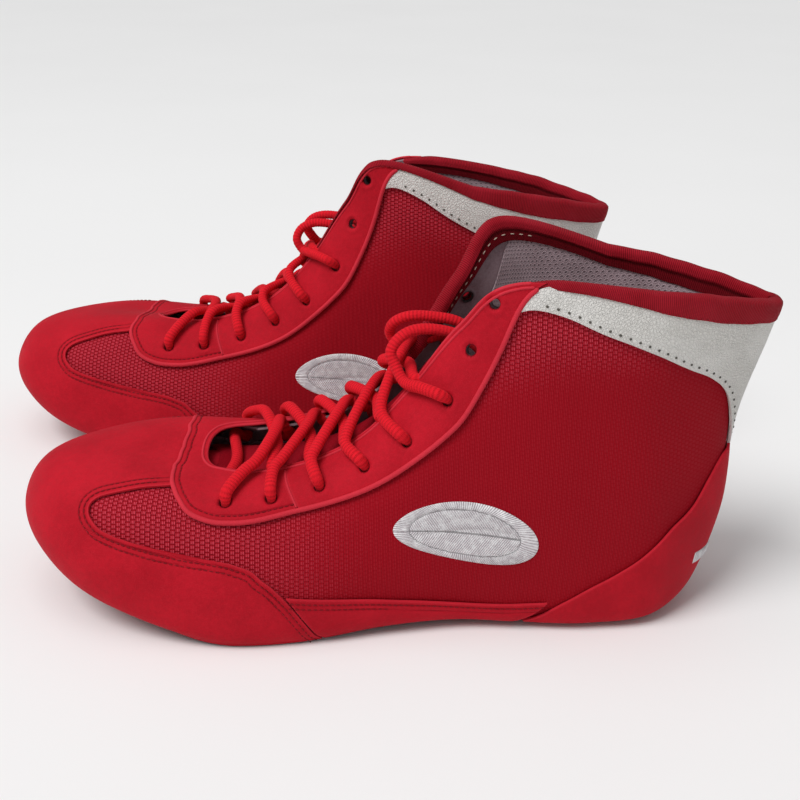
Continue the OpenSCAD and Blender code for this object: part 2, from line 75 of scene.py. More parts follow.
# The last: sections from the toe centre line to the heel centre line, outer side, in millimetres.
# u runs from the toe centre (0) along the outer side to the heel (10), and on round the inner side
# as 10 to 20 or as 0 to -10; v runs from the sole edge (0) to the topline (5).
last = {
    "sections": [
        [(-125, 0, 21), (-139, 0, 27), (-144, 0, 41), (-133, 0, 56), (-105, 0, 62), (-67, 0, 62)],
        [(-118, -22, 19), (-131, -26, 25), (-135, -26, 39), (-123, -23, 54), (-99, -15, 62),
         (-65, -7, 62.5)],
        [(-97, -38, 11), (-107, -43, 17), (-109, -43, 34), (-101, -37, 51), (-84, -26, 61), (-59, -12, 63)],
        [(-60, -49, 1.5), (-62, -52, 9), (-62, -50, 29), (-59, -41, 48), (-53, -29, 59), (-43, -14.5, 64)],
        [(-25, -46, 1), (-26, -49, 9), (-26, -47, 31), (-25, -37, 51), (-23, -26, 63), (-20, -13, 70)],
        [(8, -37, 3), (7, -41, 10), (6, -41, 36), (4, -35, 60), (2, -24, 75), (0, -12, 82)],
        [(38, -30, 3), (37, -35, 10), (33, -38, 42), (28, -35, 74), (23, -26, 94), (18, -13, 103)],
        [(66, -28, 2), (66, -34, 9), (61, -37, 48), (52, -34, 88), (44, -26, 119), (36, -19, 131)],
        [(92, -27, 2), (93, -33, 9), (90, -35, 52), (82, -33, 96), (71, -31, 132), (57, -27, 152)],
        [(117, -21, 3), (122, -26, 10), (121, -27, 52), (116, -25, 95), (116, -25.5, 128),
         (117, -24, 146.5)],
        [(132, 0, 4), (141, 0, 13), (149, 0, 45), (150, 0, 85), (158, 0, 119), (162, 0, 135)]],
    "toeSwing": 7, "shaftLean": 0.13, "cornerRise": 0.14, "toplineDip": 0.35, "cornerLead": 0.1,
    "spread": 2.3, "instepTilt": 2.6, "forefootX": -34}
rows = np.array(last["sections"], float)
acrossFlip = np.array([1.0, -1.0, 1.0])
ring = np.array([rows[-k] * acrossFlip if k < 0 else rows[20 - k] * acrossFlip if k > 10 else rows[k]
                 for k in range(-2, 13)])
net = np.concatenate([(2 * ring[:, 0] - ring[:, 1])[:, None], ring,
                      (2 * ring[:, 5] - ring[:, 4])[:, None]], 1)


def mix(a, b, t):
    return a + (b - a) * t


def ease(a, b, x):
    t = np.clip((x - a) / (b - a), 0, 1)
    return t * t * (3 - 2 * t)


def cubicShares(t):
    return 0.5 * np.stack([-t + 2 * t ** 2 - t ** 3, 2 - 5 * t ** 2 + 3 * t ** 3,
                           t + 4 * t ** 2 - 3 * t ** 3, -t ** 2 + t ** 3])


def unit(a):
    return a / np.maximum(np.linalg.norm(a, axis=-1, keepdims=True), 1e-9)


def skin(u, v):
    u, v = np.broadcast_arrays(np.asarray(u, float), np.asarray(v, float))
    w = np.where(u > 10, u - 20, u)
    i = np.clip(np.floor(np.abs(w)), 0, 9).astype(int)
    j = np.clip(np.floor(v), 0, 4).astype(int)
    along, upward = cubicShares(np.abs(w) - i), cubicShares(v - j)
    p = sum((along[a] * upward[b])[..., None] * net[i + a + 1, j + b] for a in range(4) for b in range(4))
    x, y, z = p[..., 0], p[..., 1] * np.where(w < 0, -1, 1), p[..., 2]
    instep = ease(2.9, 5, v) * ease(7.9, 4.6, np.abs(w))
    y = y - last["spread"] * instep * np.tanh(1.2 * w)
    z = z - last["instepTilt"] * instep * np.tanh(1.2 * w)
    swing = np.maximum(0, (-70 - x) / 75) ** 2 * (1 - 0.3 * np.minimum(z / 60, 1))
    up = (np.maximum(z, 0) / 150) ** 3
    inner = np.maximum(0, y) * up
    back = np.clip((x - 50) / 50, 0, 1)
    return np.stack([x - last["cornerLead"] * inner, y + last["toeSwing"] * swing,
                     z + last["shaftLean"] * y * up
                     + (last["cornerRise"] - last["toplineDip"] * back) * inner], -1)


def skinNormal(u, v, d=0.02):
    u, v = np.broadcast_arrays(np.asarray(u, float), np.asarray(v, float))
    return unit(np.cross(skin(u + d, v) - skin(u - d, v), skin(u, v + d) - skin(u, v - d)))


def offSkin(u, v, h):
    return skin(u, v) + np.asarray(h, float)[..., None] * skinNormal(u, v)


def gapNormal(u):
    return unit(skinNormal(u, 4.9) + skinNormal(-np.asarray(u, float), 4.9))


def gapPoint(u, h):
    u = np.asarray(u, float)
    return (skin(u, 5) + skin(-u, 5)) / 2 + np.asarray(h, float)[..., None] * gapNormal(u)


def sideOf(u):
    return np.abs(np.where(np.asarray(u) > 10, np.asarray(u) - 20, u))


def curveThrough(table):
    x, y = np.array(table, float).T
    gap, rise = np.diff(x), np.diff(y) / np.diff(x)
    slope = np.concatenate([rise[:1], (gap[:-1] * rise[1:] + gap[1:] * rise[:-1]) / (gap[:-1] + gap[1:]),
                            rise[-1:]])

    def at(value):
        value = np.clip(np.asarray(value, float), x[0], x[-1])
        k = np.clip(np.searchsorted(x, value, side="right") - 1, 0, len(x) - 2)
        t = (value - x[k]) / gap[k]
        return ((2 * t ** 3 - 3 * t ** 2 + 1) * y[k] + (t ** 3 - 2 * t ** 2 + t) * gap[k] * slope[k]
                + (3 * t ** 2 - 2 * t ** 3) * y[k + 1] + (t ** 3 - t ** 2) * gap[k] * slope[k + 1])
    return at


# Seam lines of the upper, as (u, v) pairs, the same on both sides
eyestayEdge = curveThrough([(0, 4.65), (1.1, 4.58), (2.1, 4.22), (2.5, 3.68), (2.7, 3.35), (2.9, 3.2),
                            (3.2, 3.15), (3.9, 3.24), (4.9, 3.27), (6.1, 3.4), (6.6, 3.48), (6.9, 3.65),
                            (7.3, 3.99), (7.6, 4.31), (7.9, 4.65), (8.2, 5)])
frontLift = curveThrough([(-3.2, 0), (-2.5, 0.02), (-2.1, 0.02), (-1.6, 0.04), (-1.1, 0.08), (-0.5, 0.1),
                          (0, 0.1), (0.6, 0.07), (1.1, 0.03), (1.4, 0.005), (1.8, -0.04), (2.1, -0.02),
                          (2.3, 0.02), (2.5, 0.02), (3, 0)])


def throatEdge(u):
    return eyestayEdge(np.abs(u)) + frontLift(u)


quarterBottom = curveThrough([(1.4, 3.0), (1.56, 2.85), (1.75, 2.7), (1.9, 2.52), (2.3, 2.4),
                              (3.05, 2.3), (3.35, 2.15), (3.6, 1.85), (3.9, 1.4), (4.65, 1.25),
                              (5.3, 1.08), (6.1, 0.9), (6.8, 0.55),
                              (7.3, 0.5), (7.8, 0.9), (8.3, 1.25), (9.1, 1.7), (9.5, 2.15), (10, 2.5)])
quarterTop = curveThrough([(1.4, 3.45), (1.56, 3.6), (1.75, 3.76), (1.85, 3.84), (2, 3.95),
                           (2.2, 4.15), (2.5, 3.8), (2.7, 3.47), (2.9, 3.32), (3.2, 3.27),
                           (3.9, 3.36), (4.9, 3.4), (6.1, 3.52), (6.6, 3.6),
                           (6.9, 3.77), (7.3, 4.12), (7.6, 4.45), (7.85, 4.6), (8.15, 4.45), (8.4, 4.2),
                           (8.9, 3.9), (9.4, 3.6), (9.7, 3.3), (10, 2.9)])
collarBottom = curveThrough([(7.72, 4.47), (7.95, 4.46), (8.15, 4.32), (8.4, 4.07), (8.65, 3.92),
                             (8.9, 3.78), (9.2, 3.6), (9.4, 3.5), (9.6, 3.32), (9.8, 2.98), (10, 2.62)])
collarTop = curveThrough([(7.72, 4.5), (7.95, 4.7), (8.2, 4.93), (8.6, 4.93), (10, 4.93)])
counterTop = curveThrough([(7, 0.7), (7.45, 1.08), (7.8, 1.26), (8.35, 1.47), (8.75, 1.64), (9.1, 1.84),
                           (9.35, 2.04), (9.55, 2.35), (9.7, 2.55), (10, 2.68)])
bandTop = curveThrough([(3.8, 1.66), (4.65, 1.44), (5.35, 1.28), (6.1, 1.15), (7.45, 1.17)])
bandRear = curveThrough([(0, 6.94), (0.75, 6.94), (1.17, 7.36)])
collarSpan = (7.72, 12.28)
bindingBottom = curveThrough([(5.8, 4.9), (8.2, 4.87), (8.5, 4.79), (8.75, 4.67), (8.95, 4.56),
                              (9.2, 4.47), (10, 4.5)])
capHalf = curveThrough([(0, 4.25), (1.2, 4.05), (1.6, 3.87), (2, 3.61), (2.3, 3.34), (2.42, 3.07),
                        (2.5, 2.6), (2.62, 2.1), (2.75, 1.9), (2.95, 1.73), (3.2, 1.67), (3.55, 1.82),
                        (3.85, 2), (4.05, 2.2)])
eyelets = [(3, 3.7), (3.55, 3.73), (4.2, 3.78), (4.9, 3.8), (5.65, 3.78), (6.4, 3.87), (6.93, 4.27),
           (7.6, 4.8)]
layers = {"suede": (1.6, 1.2), "mesh": (0, 0.8), "backing": (-1.2, 1.0), "lining": (-2.6, 1.0)}
farAway = 50.0  # a distance that no seam or edge effect reaches, in millimetres


# Mesh helpers: everything is modelled in the left boot's own millimetres, then placed twice

def deselectAll():
    if bpy.context.object and bpy.context.object.mode != "OBJECT":
        bpy.ops.object.mode_set(mode="OBJECT")
    bpy.ops.object.select_all(action="DESELECT")


def pick(piece):
    deselectAll()
    piece.select_set(True)
    bpy.context.view_layer.objects.active = piece


def readPoints(piece):
    points = np.zeros(len(piece.data.vertices) * 3, np.float32)
    piece.data.vertices.foreach_get("co", points)
    return points.reshape(-1, 3).astype(float)


def liftClear(piece):
    # keeps the low edges off the floor
    points = readPoints(piece)
    points[:, 2] = np.maximum(points[:, 2], 0.15)
    writePoints(piece, points)


def writePoints(piece, points):
    piece.data.vertices.foreach_set("co", np.asarray(points, np.float32).ravel())
    piece.data.update()


def writeCloth(piece, cloth):
    # cloth holds the millimetres along and across the cloth for each vertex
    corners = np.zeros(len(piece.data.loops), np.int32)
    piece.data.loops.foreach_get("vertex_index", corners)
    layer = piece.data.uv_layers.active or piece.data.uv_layers.new(name="UVMap")
    layer.data.foreach_set("uv", cloth[corners].astype(np.float32).ravel())


def writeField(piece, name, values):
    field = piece.data.attributes.get(name) or piece.data.attributes.new(name, "FLOAT", "POINT")
    field.data.foreach_set("value", np.asarray(values, np.float32))


def applyModifier(piece, kind, **settings):
    pick(piece)
    bpy.ops.object.modifier_add(type=kind)
    modifier = piece.modifiers[-1]
    for key, value in settings.items():
        setattr(modifier, key, value)
    bpy.ops.object.modifier_apply(modifier=modifier.name)


def nearestBorder(points, border):
    # distance of each point to a dense line of border points
    best = np.full(len(points), 1e9)
    for start in range(0, len(border), 60):
        part = border[start:start + 60]
        best = np.minimum(best, np.linalg.norm(points[:, None] - part[None], axis=-1).min(1))
    return best


def addGrid(name, counts):
    deselectAll()
    bpy.ops.mesh.primitive_grid_add(x_subdivisions=counts[0], y_subdivisions=counts[1], size=2)
    piece = bpy.context.object
    piece.name = name
    flat = readPoints(piece)
    wide = int(np.count_nonzero(np.abs(flat[:, 1] - flat[0, 1]) < 1e-6))
    s, t = (flat[:, 0] + 1) / 2, (flat[:, 1] + 1) / 2
    return piece, s.reshape(-1, wide), t.reshape(-1, wide)


def arcs(grid, axis):
    steps = np.linalg.norm(np.diff(grid, axis=axis), axis=-1)
    return np.concatenate([np.zeros_like(steps.take([0], axis)), np.cumsum(steps, axis)], axis)


def borderLine(mapping, side, count=400):
    run = np.linspace(0, 1, count)
    still = np.full(count, 0.0 if side in ("low", "start") else 1.0)
    return mapping(run, still) if side in ("low", "high") else mapping(still, run)


def mergeDoubles(piece, reach=1e-4):
    pick(piece)
    bpy.ops.object.mode_set(mode="EDIT")
    bpy.ops.mesh.select_all(action="SELECT")
    bpy.ops.mesh.remove_doubles(threshold=reach)
    bpy.ops.object.mode_set(mode="OBJECT")


def smoothShade(piece, angle=42):
    pick(piece)
    bpy.ops.object.shade_smooth_by_angle(angle=math.radians(angle))


def turnOutwards(piece, fill=False):
    # faces outwards, and open ends closed where asked
    pick(piece)
    bpy.ops.object.mode_set(mode="EDIT")
    bpy.ops.mesh.select_all(action="SELECT")
    if fill:
        bpy.ops.mesh.fill_holes(sides=0)
    bpy.ops.mesh.normals_make_consistent(inside=False)
    bpy.ops.object.mode_set(mode="OBJECT")


def runAlong(path):
    # distance run at each point of a path
    return np.concatenate([[0], np.cumsum(np.linalg.norm(np.diff(path, axis=0), axis=1))])


def sampleAt(at, run, line):
    return np.stack([np.interp(at, run, line[:, k]) for k in range(3)], -1)


def placesAlong(path, normals, run, at):
    # where each copy stands, the way it points and the way it faces
    ahead = sampleAt(at + 0.4, run, path) - sampleAt(at - 0.4, run, path)
    return sampleAt(at, run, path), unit(ahead), unit(sampleAt(at, run, normals))


def punch(piece, spots, radius, dimple=0.5):
    # round holes through a sheet: faces out, rim put on a circle, the sheet round it relaxed
    for centre, axis in spots:
        mesh = piece.data
        middles = np.zeros(len(mesh.polygons) * 3, np.float32)
        mesh.polygons.foreach_get("center", middles)
        reach = middles.reshape(-1, 3) - centre
        depth = reach @ axis
        away = np.linalg.norm(reach - depth[:, None] * axis, axis=1)
        inside = (away < radius) & (np.abs(depth) < 5)
        if not inside.any():
            continue
        mesh.vertices.foreach_set("select", np.zeros(len(mesh.vertices), bool))
        mesh.edges.foreach_set("select", np.zeros(len(mesh.edges), bool))
        mesh.polygons.foreach_set("select", inside)
        pick(piece)
        bpy.ops.object.mode_set(mode="EDIT")
        bpy.ops.mesh.select_mode(type="FACE")
        bpy.ops.mesh.delete(type="FACE")
        bpy.ops.object.mode_set(mode="OBJECT")
        mesh = piece.data
        points = readPoints(piece)
        edges = np.zeros(len(mesh.edges) * 2, np.int32)
        mesh.edges.foreach_get("vertices", edges)
        edges = edges.reshape(-1, 2)
        edgeOfLoop = np.zeros(len(mesh.loops), np.int32)
        mesh.loops.foreach_get("edge_index", edgeOfLoop)
        lone = edges[np.bincount(edgeOfLoop, minlength=len(edges)) == 1].ravel()
        reach = points - centre
        depth = reach @ axis
        flat = reach - depth[:, None] * axis
        away = np.linalg.norm(flat, axis=1)
        near = np.abs(depth) < 5
        rim = np.unique(lone)
        rim = rim[(away[rim] < radius * 1.7) & near[rim]]
        sideways = unit(np.cross(axis, [0.31, 0.2, 0.93]))
        upwards = np.cross(axis, sideways)
        turn = np.arctan2(flat[rim] @ upwards, flat[rim] @ sideways)
        order = np.argsort(turn)
        even = np.linspace(0, 2 * math.pi, len(rim), endpoint=False)
        even = even + np.mean(turn[order] - even)
        for index, angle in zip(rim[order], even):
            points[index] = (centre + depth[index] * axis
                             + radius * (math.cos(angle) * sideways + math.sin(angle) * upwards))
        loose = np.setdiff1d(np.where((away < radius * 2.6) & near)[0], np.unique(lone))
        inLoose = np.zeros(len(points), bool)
        inLoose[loose] = True
        for _ in range(12):
            total, number = np.zeros_like(points), np.zeros(len(points))
            for a, b in ((0, 1), (1, 0)):
                np.add.at(total, edges[:, a], points[edges[:, b]])
                np.add.at(number, edges[:, a], 1)
            target = total / np.maximum(number, 1)[:, None]
            move = target - points
            move -= (move @ axis)[:, None] * axis
            points[inLoose] += 0.6 * move[inLoose]
        reach = points - centre
        away = np.linalg.norm(reach - (reach @ axis)[:, None] * axis, axis=1) - radius
        sink = -dimple * np.exp(-(away / 0.8) ** 2) + 0.3 * dimple * np.exp(-((away - 1.9) / 0.9) ** 2)
        points[near] += (sink[:, None] * axis)[near]
        writePoints(piece, points)


def addPanel(name, mapping, counts, layer, puff=0.3, puffRun=2.5, stitched=(), rowsAt=None, holes=(),
             bevel=0.25, warp=None, shadeRun=0.3, sides=("low", "high", "start", "end")):
    # sheet of the upper: mapping gives (u, v) for (s, t), layer gives its outer height and thickness
    piece, s, t = addGrid(name, counts)
    u, v = mapping(s, t)
    base = skin(u, v)
    lines = {side: skin(*borderLine(mapping, side)) for side in set(sides) | set(stitched)}
    flat = base.reshape(-1, 3)
    edge = nearestBorder(flat, np.concatenate([lines[side] for side in sides]))
    seam = np.full(len(flat), farAway)
    if stitched:
        seam = nearestBorder(flat, np.concatenate([lines[side] for side in stitched]))
    height = layer[0] + puff * (1 - np.exp(-edge / puffRun)) - puff * 0.6
    rowList = rowsAt or seamSet["rows"]
    for row in rowList:
        height -= 0.2 * np.exp(-((seam - row) / 0.9) ** 2)
    if warp is not None:
        height += warp(u.ravel(), v.ravel(), flat, edge)
    normals = skinNormal(u, v).reshape(-1, 3)
    writePoints(piece, flat + height[:, None] * normals)
    along, across = arcs(base, 1), arcs(base, 0)
    along = along - along[:, along.shape[1] // 2][:, None]
    writeCloth(piece, np.stack([along.ravel(), across.ravel()], -1))
    writeField(piece, "edge", edge)
    writeField(piece, "seam", np.abs(seam[:, None] - np.array(rowList)).min(1) if stitched else seam)
    if holes:
        punch(piece, holes, holeSet["radius"], holeSet["dimple"])
        points = readPoints(piece)
        # hole field: painted shade, 1 at each hole's rim and fading out over shadeRun millimetres; it
        # darkens the cut walls and the sheet round them
        shade = np.zeros(len(points))
        for centre, axis in holes:
            reach = points - centre
            away = np.linalg.norm(reach - (reach @ axis)[:, None] * axis, axis=1)
            shade = np.maximum(shade, ease(shadeRun, 0.0, np.abs(away - holeSet["radius"])))
        writeField(piece, "hole", shade)
    applyModifier(piece, "SOLIDIFY", thickness=layer[1], offset=-1, use_even_offset=False,
                  use_quality_normals=True)
    liftClear(piece)
    if bevel:
        applyModifier(piece, "BEVEL", width=bevel, segments=2, limit_method="ANGLE",
                      angle_limit=math.radians(55))
    smoothShade(piece)
    return piece


def between(bottom, top):
    def mapping(start, end):
        return lambda s, t: (mix(start, end, s) + 0 * t,
                             mix(bottom(sideOf(mix(start, end, s))), top(sideOf(mix(start, end, s))), t))
    return mapping


def smoothPath(points, spacing):
    # centripetal curve through the points, sampled evenly
    points = np.asarray(points, float)
    full = np.concatenate([[2 * points[0] - points[1]], points, [2 * points[-1] - points[-2]]])
    fine = []
    for a, b, c, d in zip(full[:-3], full[1:-2], full[2:-1], full[3:]):
        k0 = 0.0
        k1 = k0 + max(np.linalg.norm(b - a), 1e-6) ** 0.5
        k2 = k1 + max(np.linalg.norm(c - b), 1e-6) ** 0.5
        k3 = k2 + max(np.linalg.norm(d - c), 1e-6) ** 0.5
        k = np.linspace(k1, k2, 24, endpoint=False)[:, None]
        ab = (k1 - k) / (k1 - k0) * a + (k - k0) / (k1 - k0) * b
        bc = (k2 - k) / (k2 - k1) * b + (k - k1) / (k2 - k1) * c
        cd = (k3 - k) / (k3 - k2) * c + (k - k2) / (k3 - k2) * d
        abc = (k2 - k) / (k2 - k0) * ab + (k - k0) / (k2 - k0) * bc
        bcd = (k3 - k) / (k3 - k1) * bc + (k - k1) / (k3 - k1) * cd
        fine.append((k2 - k) / (k2 - k1) * abc + (k - k1) / (k2 - k1) * bcd)
    fine = np.concatenate(fine + [points[-1:]])
    return evenly(fine, spacing)


def evenly(line, spacing):
    run = runAlong(line)
    count = max(int(round(run[-1] / spacing)), 2)
    return sampleAt(np.linspace(0, run[-1], count + 1), run, line)


def carriedFrames(path, first):
    # two directions square to the path, carried along it without twisting
    heading = unit(np.gradient(path, axis=0))
    across = np.zeros_like(path)
    side = first - (first @ heading[0]) * heading[0]
    for k in range(len(path)):
        side = unit(side - (side @ heading[k]) * heading[k])
        across[k] = side
    return across, np.cross(heading, across)


def addTube(name, path, size, sides=10, first=(0.0, 0.3, 1.0), rib=None, pinch=()):
    # size is (thickness across, thickness upwards); rib is (pitch, share, slant)
    piece, s, t = addGrid(name, (len(path) - 1, sides))
    across, upward = carriedFrames(path, np.array(first))
    run = runAlong(path)
    wide = s.shape[1]
    index, whole = np.linspace(0, len(path) - 1, wide), np.arange(len(path))
    centre, a, b = (sampleAt(index, whole, line) for line in (path, across, upward))
    length = np.interp(index, whole, run)
    turn = -2 * math.pi * t
    toEnd = np.minimum(length, run[-1] - length)
    swell = np.sqrt(np.clip(1 - (1 - np.minimum(toEnd / (min(size) / 2), 1)) ** 2, 0, 1))
    for spot in pinch:
        swell = swell * (1 - laceSet["pinch"] * np.exp(-(np.linalg.norm(centre - spot, axis=1) / 2.2) ** 2))
    thick = np.ones_like(turn) * swell
    if rib:
        wave = np.cos(2 * math.pi * (length / rib[0]) + rib[2] * np.cos(turn + 0.6))
        thick = thick * (1 + rib[1] * wave)
    points = (centre[None] + (size[0] / 2 * np.cos(turn) * thick)[..., None] * a[None]
              + (size[1] / 2 * np.sin(turn) * thick)[..., None] * b[None])
    writePoints(piece, points.reshape(-1, 3))
    girth = math.pi * (size[0] + size[1]) / 2
    writeCloth(piece, np.stack([np.broadcast_to(length, t.shape).ravel(), (t * girth).ravel()], -1))
    mergeDoubles(piece, 0.002)
    smoothShade(piece, 60)
    return piece


def borderOffset(mapping, side, distance, height, trim=(0.0, 1.0), count=400):
    # line inside a panel at a set distance from one border, with the skin's normals along it
    run = np.linspace(trim[0], trim[1], count)
    still = np.full(count, 0.0 if side in ("low", "start") else 1.0)
    nudge = 0.01 if side in ("low", "start") else -0.01
    if side in ("low", "high"):
        u, v = mapping(run, still)
        uIn, vIn = mapping(run, still + nudge)
    else:
        u, v = mapping(still, run)
        uIn, vIn = mapping(still + nudge, run)
    place, normal = skin(u, v), skinNormal(u, v)
    along = unit(np.gradient(place, axis=0))
    inward = unit(np.cross(normal, along))
    inward *= np.where(np.sum(inward * (skin(uIn, vIn) - place), -1) < 0, -1, 1)[:, None]
    d = 0.01
    du, dv = (skin(u + d, v) - place) / d, (skin(u, v + d) - place) / d
    uu, uv, vv = (np.sum(a * b, -1) for a, b in ((du, du), (du, dv), (dv, dv)))
    pu, pv = distance * np.sum(inward * du, -1), distance * np.sum(inward * dv, -1)
    spread = uu * vv - uv * uv
    u2, v2 = u + (pu * vv - pv * uv) / spread, v + (pv * uu - pu * uv) / spread
    keep = nearestBorder(skin(u2, v2), place) > abs(distance) * 0.93
    return offSkin(u2, v2, np.full(count, height))[keep], skinNormal(u2, v2)[keep]


threadRuns = {"thread_red": [], "thread_light": [], "thread_white": []}


def stitch(colour, line, pitch=None, sink=0.0):
    path, normals = line
    run = runAlong(path)
    count = int(run[-1] / (pitch or seamSet["pitch"]))
    at = (np.arange(count) + 0.5) * run[-1] / max(count, 1)
    where, ahead, facing = placesAlong(path, normals, run, at)
    threadRuns[colour].append((where - sink * facing, ahead, facing))


def doubleSeam(mapping, side, height, trim=(0.0, 1.0), rowsAt=None):
    for distance in rowsAt or seamSet["rows"]:
        stitch("thread_red", borderOffset(mapping, side, distance, height, trim))


# Placing: the left boot's millimetres go to the pair's metres, once as they are and once mirrored
boots = {}
leftStart = mounts["left_forefoot_rest"] - np.array([last["forefootX"], 0, 0]) / 1000
boots["left"] = Matrix(((0.001, 0, 0, leftStart[0]), (0, 0.001, 0, leftStart[1]),
                        (0, 0, 0.001, 0), (0, 0, 0, 1)))
rightRun = unit(mounts["right_heel_rest"] - mounts["right_forefoot_rest"])
rightStart = mounts["right_forefoot_rest"] - rightRun * last["forefootX"] / 1000
boots["right"] = Matrix(((rightRun[0] / 1000, rightRun[1] / 1000, 0, rightStart[0]),
                         (rightRun[1] / 1000, -rightRun[0] / 1000, 0, rightStart[1]),
                         (0, 0, 0.001, 0), (0, 0, 0, 1)))
made = []


def seat(piece, paint, nodes=(), part="boot"):
    # gives both boots this piece, with its finish and its CAD nodes, and ties it to the body it moves with;
    # a 'fold' piece is only baked in place
    base = piece.name
    piece.data.materials.clear()
    piece.data.materials.append(paint)
    twin = piece.copy()
    twin.data = piece.data.copy()
    bpy.context.scene.collection.objects.link(twin)
    for side, copy in (("left", piece), ("right", twin)):
        copy.name = side + "_" + base
        copy.data.name = copy.name
        copy.data.transform(boots[side])
        if side == "right":
            copy.data.flip_normals()
        copy.data.update()
        if nodes:
            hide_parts(*[side + "_" + node for node in nodes])
        if part == "fold":
            side + "_boot"
            side + "_tongue"
            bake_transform(copy)
        else:
            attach(copy, side + "_" + part)
        made.append(copy.name)


# Shader helpers

class Wire:
    def __init__(self, paint, socket):
        self.paint = paint
        self.socket = socket

    def maths(self, operation, first, second=None):
        values = {0: first} if second is None else {0: first, 1: second}
        return self.paint.node("Math", {"operation": operation}, values)

    def __add__(self, other):
        return self.maths("ADD", self, other)

    def __radd__(self, other):
        return self.maths("ADD", other, self)

    def __sub__(self, other):
        return self.maths("SUBTRACT", self, other)

    def __rsub__(self, other):
        return self.maths("SUBTRACT", other, self)

    def __mul__(self, other):
        return self.maths("MULTIPLY", self, other)

    def __rmul__(self, other):
        return self.maths("MULTIPLY", other, self)

    def __truediv__(self, other):
        return self.maths("DIVIDE", self, other)

    def __pow__(self, other):
        return self.maths("POWER", self, other)

    def sine(self):
        return self.maths("SINE", self)

    def size(self):
        return self.maths("ABSOLUTE", self)

    def part(self):
        return self.maths("FRACT", self)

    def whole(self):
        return self.maths("FLOOR", self)


class Paint:
    def __init__(self, name, fixed):
        self.material = bpy.data.materials.new(name)
        self.material.use_nodes = True
        self.tree = self.material.node_tree
        self.shader = next(node for node in self.tree.nodes if node.type == "BSDF_PRINCIPLED")
        for key, value in fixed.items():
            self.shader.inputs[key].default_value = value

    def node(self, kind, settings=None, sockets=None, out=0):
        added = self.tree.nodes.new("ShaderNode" + kind)
        for key, value in (settings or {}).items():
            if key == "stops":
                ramp = added.color_ramp
                while len(ramp.elements) < len(value):
                    ramp.elements.new(0.5)
                for stop, (place, colour) in zip(ramp.elements, value):
                    stop.position, stop.color = place, colour
            else:
                setattr(added, key, value)
        for key, value in (sockets or {}).items():
            if isinstance(value, Wire):
                self.tree.links.new(value.socket, added.inputs[key])
            else:
                added.inputs[key].default_value = value
        return Wire(self, added.outputs[out])

    def feed(self, name, wire):
        self.tree.links.new(wire.socket, self.shader.inputs[name])

    def solid(self):
        # the object's own place, in millimetres
        place = self.node("TexCoord", out=3)
        return self.node("VectorMath", {"operation": "SCALE"}, {0: place, "Scale": 1000.0})

    def cloth(self):
        # millimetres along and across the cloth
        both = self.node("TexCoord", out=2)
        return (self.node("SeparateXYZ", None, {0: both}), self.node("SeparateXYZ", None, {0: both}, out=1))

    def field(self, name):
        return self.node("Attribute", {"attribute_name": name}, out=2)

    def noise(self, place, scale, detail=3.0, rough=0.5):
        return self.node("TexNoise", None, {"Vector": place, "Scale": scale, "Detail": detail,
                                            "Roughness": rough})

    def cells(self, place, scale, feature="F1"):
        return self.node("TexVoronoi", {"feature": feature}, {"Vector": place, "Scale": scale})

    def blend(self, share, first, second):
        return self.node("Mix", {"data_type": "RGBA"}, {0: share, 6: first, 7: second}, out=2)

    def step(self, value, low, high, floor=0.0, top=1.0):
        return self.node("MapRange", {"interpolation_type": "SMOOTHSTEP"},
                         {0: value, 1: low, 2: high, 3: floor, 4: top})

    def ridge(self, value, centre, width):
        # 1 on a line of the given width, easing to 0 beside it
        return self.step((value - centre).size(), width, 0.0)

    def relief(self, height, distance):
        # height in millimetres times distance, as a bump
        bump = self.node("Bump", None, {"Strength": 1.0, "Distance": distance / 1000, "Height": height})
        self.feed("Normal", bump)

    def finish(self, colour, rough):
        self.feed("Base Color", colour)
        self.feed("Roughness", rough)
        return self.material


def rgb(red, green, blue):
    return (red, green, blue, 1.0)


redSheen = rgb(1.0, 0.2, 0.25)
seamSet = {"rows": (1.9, 4.1), "pitch": 2.3, "length": 1.75, "width": 0.5}
holeSet = {"radius": 2.05, "dimple": 0.7}


def suedePaint(name, tone):
    p = Paint(name, {"Sheen Weight": 0.12, "Sheen Roughness": 0.4, "Sheen Tint": redSheen,
              "Specular IOR Level": 0.08})
    place = p.solid()
    cloud, nap = p.noise(place, 0.045, 3.0), p.noise(place, 0.5, 4.0, 0.65)
    fibre = p.noise(place, 3.2, 3.0, 0.7)
    seam, edge = p.field("seam"), p.field("edge")
    # groove: mask of the stitch-row grooves, used both for the bump and for painted shade in the colour
    groove = p.step(seam, 0.6, 0.0)
    shade = p.step(cloud * 0.55 + nap * 0.45, 0.3, 0.72)
    colour = p.blend(shade, tone["deep"], tone["main"])
    colour = p.blend(p.step(edge, 1.0, 0.0) * (0.25 + fibre * 0.3), colour, tone["worn"])
    colour = p.blend(p.step(fibre, 0.5, 0.72) * 0.45, colour, tone["worn"])
    colour = p.blend(p.step(fibre, 0.5, 0.3) * 0.4, colour, tone["deep"])
    # painted shade: the stitch grooves darkened towards deep red
    colour = p.blend(groove * 0.55, colour, rgb(0.17, 0.0, 0.004))
    # painted shade: near black round the lace holes, from the hole field
    colour = p.blend(p.field("hole"), colour, rgb(0.035, 0.0, 0.001))
    p.relief(fibre * 0.6 + nap * 0.6 - groove * 1.4, 0.16)
    return p.finish(colour, p.step(nap, 0.2, 0.8, 0.62, 0.8))


